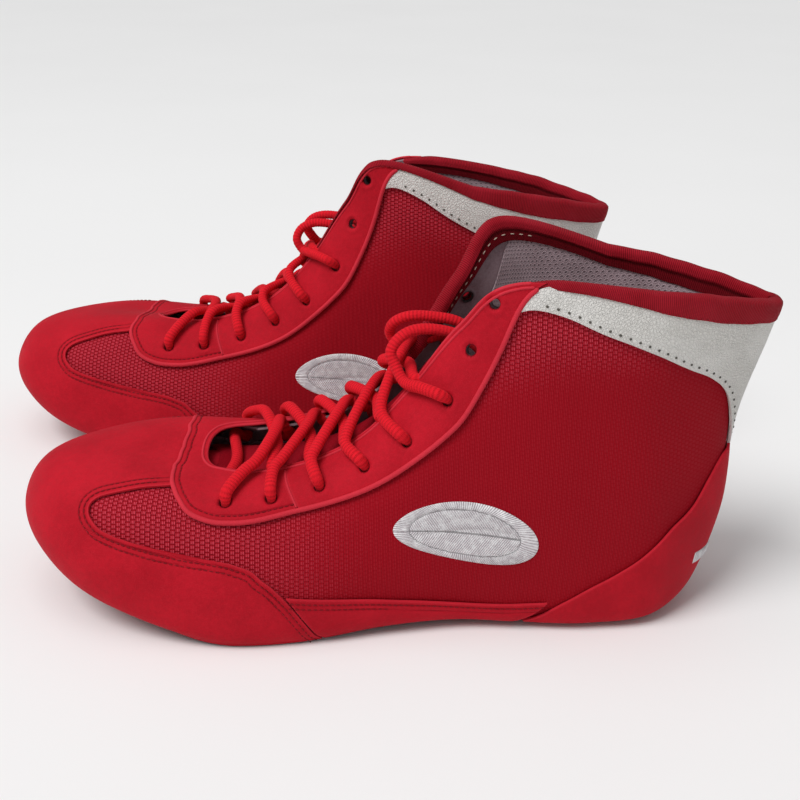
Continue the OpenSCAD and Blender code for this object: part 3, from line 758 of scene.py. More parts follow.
def meshPaint(name, tone, pitch, dashShare):
    # floats of two or three threads, laid like bricks, on a dense vertical rib; the floats get painted
    # glints and the gaps between them painted shade, both strongest where the lift field marks the lit part
    # of the quarter
    p = Paint(name, {"Sheen Weight": 0.03, "Sheen Roughness": 0.35, "Sheen Tint": redSheen,
                     "Specular IOR Level": 0.08})
    along, across = p.cloth()
    place = p.solid()
    sway = p.noise(place, 0.3, 2.0) - 0.5
    column, row = (along + sway * 0.2) / pitch[0], (across + sway * 0.2) / pitch[1]
    odd = (column.whole() * 0.5).part() * 2.0
    cellX, cellY = column.part() - 0.5, (row + odd * 0.5).part() - 0.5
    block = p.step(cellX.size(), 0.46, 0.34) * p.step(cellY.size(), 0.42, 0.24)
    thread = (column * (2 * math.pi * 3)).sine() * 0.5 + 0.5
    # lift: painted light mask read from the quarter's lift field
    lift = p.step(p.field("lift") + sway * 0.35, 0.0, 1.0)
    wear = p.noise(place, 1.3, 3.0)
    broad = p.noise(place, 0.03, 2.0)
    dash = block * p.step(thread, 0.2, 0.8)
    colour = p.blend(thread * 0.5 + wear * 0.2 + broad * 0.25, tone["deep"], tone["main"])
    # painted highlight: glint colour on the floats, scaled by the lift mask
    colour = p.blend(dash * (lift * 0.9 + 0.1) * (wear * 0.6 + 0.6) * dashShare, colour, tone["glint"])
    # the gaps between the floats darkened: painted shade, deeper where the lift mask is high
    pitShade = p.step(cellX.size(), 0.38, 0.47) * p.step(cellY.size(), 0.3, 0.46)
    colour = p.blend(pitShade * (lift * 0.55 + 0.04), colour, tone["pitShade"])
    p.relief(thread * 0.5 + (block - pitShade * 0.6) * (lift * 0.8 + 0.08), 0.3)
    return p.finish(colour, 0.8 - dash * 0.2)


def lacePaint():
    tone = {"deep": rgb(0.42, 0.004, 0.010), "main": rgb(0.76, 0.010, 0.022),
            "light": rgb(0.90, 0.04, 0.055)}
    p = Paint("laceRed", {"Sheen Weight": 0.12, "Sheen Roughness": 0.35, "Sheen Tint": redSheen,
                          "Specular IOR Level": 0.1})
    along, around = p.cloth()
    place = p.solid()
    fuzz = p.noise(place, 2.2, 3.0, 0.65)
    rib = (along * (2 * math.pi / laceSet["ribPitch"])).sine() * 0.5 + 0.5
    strand = (around * (2 * math.pi / 0.62) + along * 1.1).sine() * 0.5 + 0.5
    weave = (around * (2 * math.pi / 0.62) - along * 4.2).sine() * 0.5 + 0.5
    colour = p.blend(p.step(rib * 0.35 + strand * 0.25 + fuzz * 0.5, 0.1, 0.75), tone["deep"], tone["main"])
    colour = p.blend(p.step(weave * 0.5 + fuzz * 0.6, 0.6, 0.95) * 0.35, colour, tone["light"])
    p.relief(strand * 0.5 + weave * 0.35 + fuzz * 0.5, 0.2)
    return p.finish(colour, 0.72 + fuzz * 0.14)


def leatherPaint():
    tone = {"crease": rgb(0.55, 0.53, 0.50), "main": rgb(0.76, 0.74, 0.70), "top": rgb(0.84, 0.82, 0.79)}
    p = Paint("whiteLeather", {"Specular IOR Level": 0.45, "Coat Roughness": 0.45})
    place = p.solid()
    bent = p.noise(place, 0.6, 3.0)
    shifted = p.node("VectorMath", {"operation": "ADD"},
                     {0: place, 1: p.node("Mix", {"data_type": "VECTOR"},
                                          {0: bent, 4: (0.0, 0.0, 0.0), 5: (0.9, 0.7, 0.8)}, out=1)})
    pebble = p.cells(shifted, 0.82, "DISTANCE_TO_EDGE")
    fine = p.cells(shifted, 2.1, "DISTANCE_TO_EDGE")
    rise = p.step(pebble, 0.0, 0.22)
    small = p.step(fine, 0.0, 0.25)
    smudge = p.noise(place, 0.05, 3.0)
    colour = p.blend(rise * 0.4 + small * 0.15 + 0.4, tone["crease"], tone["main"])
    colour = p.blend(p.step(smudge, 0.35, 0.7) * 0.6, colour, tone["top"])
    edge = p.field("edge")
    colour = p.blend(p.step(edge, 0.7, 0.0) * 0.35, colour, rgb(0.75, 0.55, 0.56))
    p.relief(rise * 0.9 + small * 0.3, 0.26)
    return p.finish(colour, p.step(rise, 0.0, 1.0, 0.55, 0.42))


def tapePaint(name, tone, ribPitch):
    p = Paint(name, {"Sheen Weight": 0.06, "Sheen Roughness": 0.35, "Sheen Tint": redSheen,
                     "Specular IOR Level": 0.12})
    along, across = p.cloth()
    place = p.solid()
    fuzz = p.noise(place, 1.6, 3.0, 0.6)
    rib = (along * (2 * math.pi / ribPitch)).sine() * 0.5 + 0.5
    warp = (across * (2 * math.pi / 0.42)).sine() * 0.5 + 0.5
    band = p.noise(place, 0.07, 2.0)
    colour = p.blend(p.step(rib * 0.7 + warp * 0.15 + fuzz * 0.3, 0.2, 0.85), tone["deep"], tone["main"])
    colour = p.blend(p.step(band, 0.35, 0.7) * 0.3, colour, tone["light"])
    colour = p.blend(p.field("shade"), colour, rgb(0.07, 0.0, 0.002))
    p.relief(rib + warp * 0.25 + fuzz * 0.2, 0.3)
    return p.finish(colour, 0.74 - rib * 0.14)


def liningPaint():
    tone = {"deep": rgb(0.34, 0.25, 0.27), "main": rgb(0.58, 0.44, 0.48), "hole": rgb(0.14, 0.09, 0.11)}
    p = Paint("perforatedLining", {"Sheen Weight": 0.15, "Specular IOR Level": 0.25})
    along, across = p.cloth()
    place = p.solid()
    row = across / 2.0
    odd = (row.whole() * 0.5).part() * 2.0
    x, y = ((along / 2.5 + odd * 0.5).part() - 0.5) * 2.5, (row.part() - 0.5) * 2.0
    away = (x * x + y * y) ** 0.5
    hole, rim = p.step(away, 0.55, 0.3), p.ridge(away, 0.75, 0.35)
    knit = ((along * 7.4).sine() * (across * 7.4).sine()) * 0.5 + 0.5
    cloud = p.noise(place, 0.09, 3.0)
    colour = p.blend(p.step(cloud * 0.6 + knit * 0.4, 0.25, 0.8), tone["deep"], tone["main"])
    colour = p.blend(hole * 0.6, colour, tone["hole"])
    p.relief(knit * 0.25 + rim * 0.35 - hole * 1.2, 0.3)
    return p.finish(colour, 0.82 - rim * 0.08)


def facingPaint():
    tone = {"deep": rgb(0.20, 0.12, 0.14), "main": rgb(0.42, 0.31, 0.34)}
    p = Paint("lightFacing", {"Specular IOR Level": 0.35, "Sheen Weight": 0.1})
    place = p.solid()
    grain, cloud = p.noise(place, 1.1, 4.0, 0.6), p.noise(place, 0.07, 2.0)
    colour = p.blend(p.step(grain * 0.4 + cloud * 0.6, 0.25, 0.75), tone["deep"], tone["main"])
    # painted shade: the facing goes near black round its holes, from the hole field
    colour = p.blend(p.field("hole"), colour, rgb(0.02, 0.005, 0.006))
    p.relief(grain, 0.14)
    return p.finish(colour, 0.55 + grain * 0.18)


def satinPaint():
    tone = {"deep": rgb(0.40, 0.35, 0.38), "main": rgb(0.78, 0.75, 0.77), "light": rgb(0.92, 0.91, 0.92)}
    p = Paint("satinStitch", {"Sheen Weight": 0.15, "Specular IOR Level": 0.5, "Anisotropic": 0.5})
    along, across = p.cloth()
    place = p.solid()
    jitter = p.noise(place, 0.7, 2.0) - 0.5
    thread = (along * (2 * math.pi / 0.9) + jitter * 1.6).sine() * 0.5 + 0.5
    gloss = p.noise(place, 0.35, 3.0)
    colour = p.blend(p.step(thread, 0.0, 0.6), tone["deep"], tone["main"])
    colour = p.blend(p.step(gloss, 0.4, 0.7) * 0.7, colour, tone["light"])
    p.relief(thread + jitter * 0.3, 0.3)
    return p.finish(colour, 0.34 + thread * 0.14)


def threadPaint(name, tone):
    p = Paint(name, {"Sheen Weight": 0.05, "Specular IOR Level": 0.12})
    place = p.solid()
    twist = p.node("TexWave", {"wave_type": "BANDS", "bands_direction": "DIAGONAL"},
                   {"Vector": place, "Scale": 0.9, "Distortion": 1.5})
    fuzz = p.noise(place, 4.0, 2.0)
    colour = p.blend(p.step(twist * 0.6 + fuzz * 0.4, 0.2, 0.8), tone["deep"], tone["main"])
    p.relief(twist * 0.6 + fuzz * 0.4, 0.08)
    return p.finish(colour, 0.5 + fuzz * 0.2)


def rubberPaint():
    tone = {"deep": rgb(0.13, 0.004, 0.008), "main": rgb(0.24, 0.008, 0.016), "dust": rgb(0.33, 0.10, 0.10)}
    p = Paint("gumRubber", {"Specular IOR Level": 0.4})
    place = p.solid()
    cloud, grit = p.noise(place, 0.06, 4.0), p.noise(place, 1.8, 3.0, 0.7)
    colour = p.blend(p.step(cloud * 0.7 + grit * 0.3, 0.3, 0.7), tone["deep"], tone["main"])
    colour = p.blend(p.step(grit, 0.62, 0.8) * 0.35, colour, tone["dust"])
    p.relief(grit, 0.18)
    return p.finish(colour, 0.6 + grit * 0.2)


def boardPaint():
    tone = {"deep": rgb(0.40, 0.29, 0.18), "main": rgb(0.62, 0.49, 0.33)}
    p = Paint("fibreBoard", {"Specular IOR Level": 0.2})
    place = p.solid()
    fleck, fibre = p.noise(place, 0.7, 4.0, 0.7), p.cells(place, 0.5)
    colour = p.blend(p.step(fleck * 0.7 + fibre * 0.3, 0.3, 0.7), tone["deep"], tone["main"])
    p.relief(fleck, 0.25)
    return p.finish(colour, 0.8 + fleck * 0.1)


def filmPaint():
    tone = {"deep": rgb(0.50, 0.01, 0.02), "main": rgb(0.78, 0.03, 0.05)}
    p = Paint("agletFilm", {"Specular IOR Level": 0.6, "Coat Weight": 0.6, "Coat Roughness": 0.12})
    along, around = p.cloth()
    place = p.solid()
    wrap = p.ridge((around / 10.7).part(), 0.5, 0.03)
    cloud = p.noise(place, 0.6, 3.0)
    colour = p.blend(p.step(cloud, 0.3, 0.7), tone["deep"], tone["main"])
    colour = p.blend(wrap * 0.5, colour, tone["deep"])
    p.relief(cloud * 0.4 + wrap, 0.15)
    return p.finish(colour, 0.22 + cloud * 0.12)


laceSet = {"pinch": 0.2, "wide": 5.1, "thick": 4.3, "bow": (0.05, 0.12, 0.16, 0.2, 0.16),
           "ribPitch": 1.45, "rib": 0.03, "over": 4.1, "under": -4.7,
           "cross": 2.3, "rise": 4.2, "rowsLaced": 6, "aglet": 3.4, "agletLength": 14,
           "outerTail": [(11, -13, 108), (9, -11, 113), (12, -9, 118), (18, -7, 121), (28, -6, 121),
                         (38, -6, 118), (46, -6, 111), (50, -6, 102), (51, -6, 92), (51, -6, 83)],
           "innerTail": [(11, 13, 108), (8, 12, 113), (10, 10, 118), (16, 9, 121), (26, 9, 121),
                         (36, 9, 119), (45, 9, 112), (49, 9, 103), (50, 9, 93), (50, 9, 84)]}
suedeTone = {"deep": rgb(0.38, 0.005, 0.014), "main": rgb(0.53, 0.009, 0.022),
             "worn": rgb(0.62, 0.03, 0.05)}
# glint is a painted highlight colour for the floats, and the darkest tone a painted shade for the gaps
# between them
redTone = {"deep": rgb(0.25, 0.002, 0.008), "main": rgb(0.41, 0.004, 0.013),
           "glint": rgb(0.72, 0.07, 0.11), "pitShade": rgb(0.12, 0.0, 0.004)}
wineTone = {"deep": rgb(0.20, 0.001, 0.006), "main": rgb(0.36, 0.003, 0.014),
            "glint": rgb(0.34, 0.015, 0.03), "pitShade": rgb(0.06, 0.0, 0.003)}
paints = {
    "suede": suedePaint("suedeRed", suedeTone), "mesh": meshPaint("wovenMesh", redTone, (1.95, 1.85), 1.0),
    "tongue": meshPaint("tongueMesh", wineTone, (2.0, 2.2), 0.6), "lace": lacePaint(),
    "leather": leatherPaint(),
    "tape": tapePaint("bindingTape", {"deep": rgb(0.20, 0.003, 0.008), "main": rgb(0.40, 0.006, 0.018),
                                      "light": rgb(0.50, 0.015, 0.035)}, 0.8),
    # lighter copy of the suede for the rolled beads: painted highlight on their rounded edges
    "highlitSuedeEdge": suedePaint("foldedSuede", {"deep": rgb(0.44, 0.010, 0.022),
                                            "main": rgb(0.60, 0.018, 0.036),
                                            "worn": rgb(0.68, 0.05, 0.075)}),
    "lining": liningPaint(), "facing": facingPaint(), "satin": satinPaint(),
    # needle holes: near black, painted shade of the holes
    "pitShade": threadPaint("needlePit", {"deep": rgb(0.06, 0.055, 0.05), "main": rgb(0.14, 0.13, 0.11)}),
    # thread red: darker than the suede, partly the thread's own colour and partly painted shade of the
    # grooves it lies in
    "threadRed": threadPaint("threadRed", {"deep": rgb(0.14, 0.002, 0.006),
                                           "main": rgb(0.30, 0.006, 0.014)}),
    "threadLight": threadPaint("threadLight", {"deep": rgb(0.45, 0.33, 0.26),
                                               "main": rgb(0.74, 0.62, 0.52)}),
    "threadWhite": threadPaint("threadWhite", {"deep": rgb(0.5, 0.49, 0.52),
                                               "main": rgb(0.85, 0.84, 0.86)}),
    "rubber": rubberPaint(), "board": boardPaint(), "film": filmPaint()}
print("finishes made")

# Toe cap, with the strip that runs back between the two mesh windows
capSet = {"counts": (210, 104), "shoulder": 3.9, "top": 4.9, "edgeShare": 2.2}


def capMap(s, t):
    r, t = 2 * np.asarray(s) - 1, np.asarray(t) * capSet["top"]
    shoulder = capSet["shoulder"]
    v = np.where(t <= shoulder, t,
                 mix(shoulder, throatEdge(r * capSet["edgeShare"]) - 0.03, t - shoulder))
    return r * capHalf(v), v


seat(addPanel("toeCap", capMap, capSet["counts"], layers["suede"], stitched=("start", "end"),
              sides=("start", "end")),
     paints["suede"], ["toe_cap"])
for side in ("start", "end"):
    doubleSeam(capMap, side, 1.5, (0.02, 0.84))
print("toe cap done")

# Woven quarters, flattened as cut cloth so that the weave runs straight
quarterSet = {"counts": (210, 64), "front": 1.4, "rear": 10.0}


def quarterWarp(u, v, place, edge):
    soft = ease(0, 14, edge)
    roll = (0.5 * np.sin(place[:, 0] / 17 + 0.5) * np.sin(place[:, 2] / 23 + 0.7)
            + 0.35 * np.sin(place[:, 0] / 9.5 + place[:, 2] / 13 + 1.1))
    return soft * (0.35 * roll)


def flattenCloth(piece):
    pick(piece)
    bpy.ops.object.mode_set(mode="EDIT")
    bpy.ops.mesh.select_all(action="SELECT")
    bpy.ops.uv.unwrap(method="CONFORMAL", margin=0.0)
    bpy.ops.object.mode_set(mode="OBJECT")
    mesh = piece.data
    corners = np.zeros(len(mesh.loops), np.int32)
    mesh.loops.foreach_get("vertex_index", corners)
    flat = np.zeros(len(mesh.loops) * 2, np.float32)
    mesh.uv_layers.active.data.foreach_get("uv", flat)
    cloth = np.zeros((len(mesh.vertices), 2))
    cloth[corners] = flat.reshape(-1, 2)
    points = readPoints(piece)
    target = points[:, [0, 2]] - points[:, [0, 2]].mean(0)
    cloth -= cloth.mean(0)
    a, _, b = np.linalg.svd(cloth.T @ target)
    cloth = cloth @ (a @ b)
    edges = np.zeros(len(mesh.edges) * 2, np.int32)
    mesh.edges.foreach_get("vertices", edges)
    edges = edges.reshape(-1, 2)
    real = np.linalg.norm(points[edges[:, 0]] - points[edges[:, 1]], axis=1)
    drawn = np.linalg.norm(cloth[edges[:, 0]] - cloth[edges[:, 1]], axis=1)
    writeCloth(piece, cloth * real.sum() / drawn.sum())


def addQuarter(name, side):
    start, end = (quarterSet["front"], quarterSet["rear"])
    if side < 0:
        start, end = -end, -start
    mapping = between(quarterBottom, quarterTop)(start, end)
    piece, s, t = addGrid(name, quarterSet["counts"])
    u, v = mapping(s, t)
    base = skin(u, v).reshape(-1, 3)
    border = np.concatenate([skin(*borderLine(mapping, k)) for k in ("low", "high", "start", "end")])
    edge = nearestBorder(base, border)
    height = layers["mesh"][0] - 0.35 + 0.5 * ease(2, 12, edge) + quarterWarp(u.ravel(), v.ravel(), base,
                                                                             edge)
    writePoints(piece, base + height[:, None] * skinNormal(u, v).reshape(-1, 3))
    flattenCloth(piece)
    writeField(piece, "edge", edge)
    # lift: painted light mask, high at the front and along the upper middle where the key light catches the
    # floats; the mesh finish puts painted glints and painted shade in the gaps there, and raises the relief
    reach = sideOf(u.ravel())
    middle = ease(3.1, 4.3, v.ravel()) * ease(5.6, 7.2, reach) * ease(9.9, 8.3, reach)
    writeField(piece, "lift", np.clip(middle + 0.95 * ease(5.4, 2.6, reach), 0, 1))
    applyModifier(piece, "SOLIDIFY", thickness=layers["mesh"][1], offset=-1, use_quality_normals=True)
    smoothShade(piece)
    return piece


for side, nodeName in ((1, "lateral_quarter"), (-1, "medial_quarter")):
    seat(addQuarter(nodeName.replace("_q", "Q"), side), paints["mesh"], [nodeName])
print("quarters done")

# Throat piece and eyestays, punched for the lace, with a bead along the outer edge
staySet = {"end": 8.2, "join": (3.93, 3.45), "counts": (210, 40), "piping": (1.6, 2.1), "edge": (1.7, 1.3),
           "fold": (1.15, 1.15), "foldInset": 2.1, "joinBead": (0.9, 1.0), "pipingRib": (4.4, 0.015, 0.8),
           "foldRib": (4.6, 0.015, 0.8)}


def holesAt(side, chosen, height=1.6):
    return [(offSkin(side * eyelets[k][0], eyelets[k][1], height), skinNormal(side * eyelets[k][0],
                                                                             eyelets[k][1]))
            for k in chosen]


def throatMap(s, t):
    u = (2 * np.asarray(s) - 1) * mix(staySet["join"][0], staySet["join"][1], t)
    return u, mix(throatEdge(u), 5, t)


def stayMap(side):
    def mapping(s, t):
        front = mix(staySet["join"][0], staySet["join"][1], t) + 0.03
        u = mix(front, staySet["end"], s if side > 0 else 1 - np.asarray(s))
        return side * u, mix(eyestayEdge(u), 5, t)
    return mapping


seat(addPanel("throatPiece", throatMap, staySet["counts"], layers["suede"], stitched=("low",),
              rowsAt=(2.6,), holes=holesAt(1, (0, 1)) + holesAt(-1, (0, 1))),
     paints["suede"], ["throat_piece"])
doubleSeam(throatMap, "low", 1.5, rowsAt=(2.6,))
for side, nodeName in ((1, "lateral_eyestay"), (-1, "medial_eyestay")):
    mapping = stayMap(side)
    seat(addPanel(nodeName.replace("_e", "E"), mapping, staySet["counts"], layers["suede"],
                  holes=holesAt(side, range(2, 8))),
         paints["suede"], [nodeName])


def addBead(name, us, vs, height, size, rib=None):
    path = evenly(offSkin(us, vs, np.full(len(us), height)), 0.9)
    piece = addTube(name, path, size, 8, first=tuple(skinNormal(us[0], vs[0])), rib=rib)
    writeField(piece, "seam", np.full(len(piece.data.vertices), farAway))
    return piece


outerUs = np.linspace(-8.12, 8.12, 900)
outerVs = throatEdge(outerUs) - 0.012
seat(addBead("stayPiping", outerUs, outerVs, 1.35, staySet["piping"], staySet["pipingRib"]),
     paints["highlitSuedeEdge"])
innerUs = np.linspace(-8.1, 8.1, 900)
seat(addBead("stayEdge", innerUs, np.full(900, 4.985), 0.8, staySet["edge"], staySet["foldRib"]),
     paints["highlitSuedeEdge"])
perStep = np.linalg.norm((skin(innerUs, np.full(900, 4.95)) - skin(innerUs, np.full(900, 4.85))) / 0.1,
                         axis=1)
seat(addBead("stayFold", innerUs, 5 - staySet["foldInset"] / perStep, 1.5, staySet["fold"],
             staySet["foldRib"]), paints["highlitSuedeEdge"])
for side in (1, -1):
    ts = np.linspace(0.02, 0.9, 60)
    joinUs = side * (mix(staySet["join"][0], staySet["join"][1], ts) + 0.015)
    seat(addBead("stayJoin" + ("Outer" if side > 0 else "Inner"), joinUs,
                 mix(eyestayEdge(np.abs(joinUs)), 5, ts), 1.45, staySet["joinBead"]),
         paints["highlitSuedeEdge"])
print("throat and eyestays done")

# Facings behind the eyelets
facingSet = {"start": 2.75, "end": 8.1, "counts": (170, 30)}


def facingMap(side):
    def mapping(s, t):
        u = mix(facingSet["start"], facingSet["end"], s if side > 0 else 1 - np.asarray(s))
        return side * u, mix(eyestayEdge(u) - 0.2, 4.97, t)
    return mapping


for side, nodeName in ((1, "lateral_facing"), (-1, "medial_facing")):
    seat(addPanel(nodeName.replace("_f", "F"), facingMap(side), facingSet["counts"], layers["backing"],
                  puff=0.0, shadeRun=1.1, holes=holesAt(side, range(8), -1.2)),
         paints["facing"], [nodeName])
print("facings done")

# Side bands and heel counter, low along the sole
bandSet = {"foot": 1.64, "crown": 1.17}


def bandMap(side):
    def mapping(s, t):
        front = capHalf(np.asarray(t) * bandSet["foot"]) + 0.03
        rear = bandRear(np.asarray(t) * bandSet["crown"])
        u = mix(front, rear, s if side > 0 else 1 - np.asarray(s))
        return side * u, t * bandTop(u)
    return mapping


for side, nodeName in ((1, "lateral_side_band"), (-1, "medial_side_band")):
    mapping = bandMap(side)
    seat(addPanel(nodeName.replace("_side_b", "SideB"), mapping, (120, 34), layers["suede"],
                  stitched=("high",)),
         paints["suede"], [nodeName])
    doubleSeam(mapping, "high", 1.5, (0.01, 0.99))
counterMap = between(lambda u: 0 * u, counterTop)(7, 13)
seat(addPanel("heelCounter", counterMap, (170, 54), layers["suede"]),
     paints["suede"], ["heel_counter"])
print("side bands and counter done")

# White collar panel, with needle holes above its lower edge
collarSet = {"counts": (190, 44), "holePitch": 4.3, "holeInset": 2.1, "holeRadius": 0.6,
             "seamSpan": (0.05, 0.95)}
collarMap = between(collarBottom, collarTop)(*collarSpan)
seat(addPanel("collarPanel", collarMap, collarSet["counts"], layers["suede"], puff=0.35, puffRun=2.0),
     paints["leather"], ["collar_panel"])
collarStitch = borderOffset(collarMap, "low", collarSet["holeInset"], 1.52, collarSet["seamSpan"])
stitch("thread_white", collarStitch, collarSet["holePitch"], 0.12)


def addNeedleHoles(line):
    # small dark dimples between the stitches, painted shade standing for the needle holes
    path, normals = line
    run = runAlong(path)
    count = int(run[-1] / collarSet["holePitch"])
    at = np.arange(1, count) * run[-1] / count
    deselectAll()
    bpy.ops.mesh.primitive_uv_sphere_add(segments=10, ring_count=6, radius=1)
    template = bpy.context.object
    ball = readPoints(template) * np.array([collarSet["holeRadius"], collarSet["holeRadius"] * 0.85, 0.24])
    return copyMany("collarNeedleHoles", template, [(ball, *placesAlong(path, normals, run, at))])


def copyMany(name, template, runs):
    faces = [list(polygon.vertices) for polygon in template.data.polygons]
    points, allFaces, start = [], [], 0
    for shape, where, ahead, facing in runs:
        across = unit(np.cross(facing, ahead))
        upward = np.cross(ahead, across)
        for k in range(len(where)):
            points.append(where[k] + shape[:, :1] * ahead[k] + shape[:, 1:2] * across[k]
                          + shape[:, 2:] * upward[k])
            allFaces += [[index + start for index in face] for face in faces]
            start += len(shape)
    mesh = bpy.data.meshes.new(name)
    mesh.from_pydata(np.concatenate(points).tolist(), [], allFaces)
    piece = bpy.data.objects.new(name, mesh)
    bpy.context.scene.collection.objects.link(piece)
    bpy.data.objects.remove(template)
    smoothShade(piece, 70)
    return piece


needleLine = borderOffset(collarMap, "low", collarSet["holeInset"], 1.72, collarSet["seamSpan"])
seat(addNeedleHoles(needleLine), paints["pitShade"])
print("collar done")

# Binding folded over the topline; on the inner side it runs on down the front edge
bindingSet = {"start": 8.0, "end": 14.15, "counts": (330, 30), "outer": 2.15, "inner": -3.9,
              "wing": 0.31, "rearWing": 0.46, "thick": 0.7, "roll": 1.9, "flutter": 0.25}


def bindingPoints(s, t):
    u = mix(bindingSet["start"], bindingSet["end"], s)
    side = sideOf(u)
    bottom = bindingBottom(side)
    outer, inner = bindingSet["outer"], bindingSet["inner"]
    wing = mix(bindingSet["wing"], bindingSet["rearWing"], ease(8.4, 9.4, side))
    foot = 4.94 - wing * ease(5.6, 6.6, side)
    outer = np.where(u > 10, outer, mix(0.6, outer, ease(8.1, 8.35, side)))
    # t: 0 to 0.4 up the outside, 0.4 to 0.62 over the roll, 0.62 to 1 down the inside
    rise, over = np.clip(t / 0.4, 0, 1), np.clip((t - 0.4) / 0.22, 0, 1)
    fall = np.clip((t - 0.62) / 0.38, 0, 1)
    v = mix(mix(bottom, 4.97, rise), foot, fall)
    turn = math.pi * over
    middle, half = (outer + inner) / 2, (outer - inner) / 2
    h = middle + half * np.cos(turn) + 0.25 * np.sin(math.pi * rise) * (t < 0.4)
    bead = 0.3 * np.exp(-((fall - 0.42) / 0.09) ** 2)
    h = h + (bead - 0.5 * np.exp(-((fall - 0.2) / 0.12) ** 2)) * (fall > 0)
    lift = bindingSet["roll"] * np.sin(turn) * np.where(u > 10, 1.0, ease(8.02, 8.32, side))
    tangent = unit(skin(u, 5) - skin(u, 4.9))
    flutter = bindingSet["flutter"] * np.sin(u * 21) * np.sin(u * 7.3) * ease(8.6, 9.2, side)
    return offSkin(u, v, h + flutter * 0.6) + (lift + flutter)[..., None] * tangent, u


def addBinding():
    piece, s, t = addGrid("collarBinding", bindingSet["counts"])
    points, _ = bindingPoints(s, t)
    writePoints(piece, points.reshape(-1, 3))
    along, across = arcs(skin(mix(bindingSet["start"], bindingSet["end"], s), 4.9), 1), arcs(points, 0)
    writeCloth(piece, np.stack([along.ravel(), across.ravel()], -1))
    inside = np.clip((t.ravel() - 0.62) / 0.38, 0, 1)
    writeField(piece, "shade", 0.55 * ease(0.2, 0.42, inside)
               + 0.4 * np.exp(-((inside - 0.42) / 0.07) ** 2))
    applyModifier(piece, "SOLIDIFY", thickness=bindingSet["thick"], offset=-1, use_quality_normals=True)
    applyModifier(piece, "BEVEL", width=0.2, segments=2, limit_method="ANGLE", angle_limit=math.radians(55))
    smoothShade(piece)
    return piece


seat(addBinding(), paints["tape"], ["collar_binding"])
bindS = np.linspace(0.62, 0.995, 300)
innerDash, dashU = bindingPoints(bindS, np.full(300, 0.85))
stitch("thread_light", (innerDash - 0.05 * skinNormal(dashU, 4.7), -skinNormal(dashU, 4.7)), 3.6)
outerDash, outerU = bindingPoints(np.linspace(0.005, 0.995, 700), np.full(700, 0.035))
stitch("thread_red", (outerDash, skinNormal(outerU, 4.9)), 2.6, 0.08)
print("binding done")


# Linings
def liningTop(u):
    return np.minimum(eyestayEdge(sideOf(u)), 4.9)


def vampMap(s, t):
    u = mix(-4.3, 4.3, np.asarray(s)) + 0 * np.asarray(t)
    return u, mix(0.6, throatEdge(u) - 0.05, t)


def quarterLiningMap(s, t):
    u = mix(4.35, 15.65, np.asarray(s)) + 0 * np.asarray(t)
    return u, mix(0.6, liningTop(u), t)


def topTaper(u, v, place, edge):
    return 0.7 * ease(4.3, 4.85, v)


seat(addPanel("vampLining", vampMap, (100, 46), layers["lining"], puff=0, bevel=0), paints["lining"],
     ["vamp_lining"])
seat(addPanel("quarterLining", quarterLiningMap, (170, 64), layers["lining"], puff=0, bevel=0,
              warp=topTaper), paints["lining"], ["quarter_lining"])
print("linings done")

# Padded tongue: a flattened round form, sewn in at the throat
tongueSet = {"lead": 15, "start": 1.5, "end": 6.15, "sink": 7.9, "sideSink": 9.2, "thick": 3.5,
             "sideLevel": curveThrough([(1.5, 4.85), (3.2, 4.1), (6.4, 4.1)]),
             "foldStart": (-68, 0, 52), "foldEnd": (-50, 0, 54), "counts": (150, 76)}


def tonguePoint(u, b, h):
    level = tongueSet["sideLevel"](u)
    a = offSkin(u, level, h - tongueSet["sideSink"])
    c = offSkin(-u, level, h - tongueSet["sideSink"])
    m = gapPoint(u, h - tongueSet["sink"])
    b = np.asarray(b)[..., None]
    return m + (c - a) / 2 * b + ((a + c) / 2 - m) * b * b


def addPad(name, start, end, thick, extra, counts, wave=0.0, lead=0.0, swell=0.0):
    # closed round-edged pad; s runs along, t runs round its section
    piece, s, t = addGrid(name, counts)
    turn = 2 * math.pi * t
    near = np.minimum(s, 1 - s) * (end - start) * 22
    endShare = np.sqrt(np.clip(1 - (1 - np.minimum(near / (thick / 2), 1)) ** 2, 0, 1))
    b = np.cos(turn)
    half = thick / 2 + extra
    power = np.abs(np.sin(turn)) ** 0.45 * np.sign(np.sin(turn))
    h = -thick / 2 + half * power * (0.12 + 0.88 * endShare)
    h = h + wave * np.sin(s * 19) * np.cos(3 * b) * (power > 0)
    q = s * (1 + lead) - lead
    u = mix(start, end, np.maximum(q, 0))
    hollow = 1 - 0.7 * np.exp(-((u - 2.3) / 0.4) ** 2)
    crown = swell * np.clip(1 - b * b, 0, 1) ** 1.3 * hollow * (power > 0)
    points = tonguePoint(u, b * (1 + extra * 0.02), h + crown)
    points[..., 0] += tongueSet["lead"] * np.minimum(q, 0) / max(lead, 1e-6)
    writePoints(piece, points.reshape(-1, 3))
    along, around = arcs(points, 1), arcs(points, 0)
    writeCloth(piece, np.stack([around.ravel(), along.ravel()], -1))
    mergeDoubles(piece, 0.003)
    turnOutwards(piece, fill=True)
    smoothShade(piece, 60)
    return piece


seat(addPad("tonguePad", tongueSet["start"], tongueSet["end"], tongueSet["thick"], 0, tongueSet["counts"],
            0.25, 0.12, 3.2), paints["tongue"], ["tongue"], part="fold")
seat(addPad("tongueBinding", tongueSet["end"] + 0.01, tongueSet["end"] + 0.15, tongueSet["thick"], 0.6,
            (10, 76)), paints["tape"], ["tongue_binding"], part="tongue")
print("tongue done")


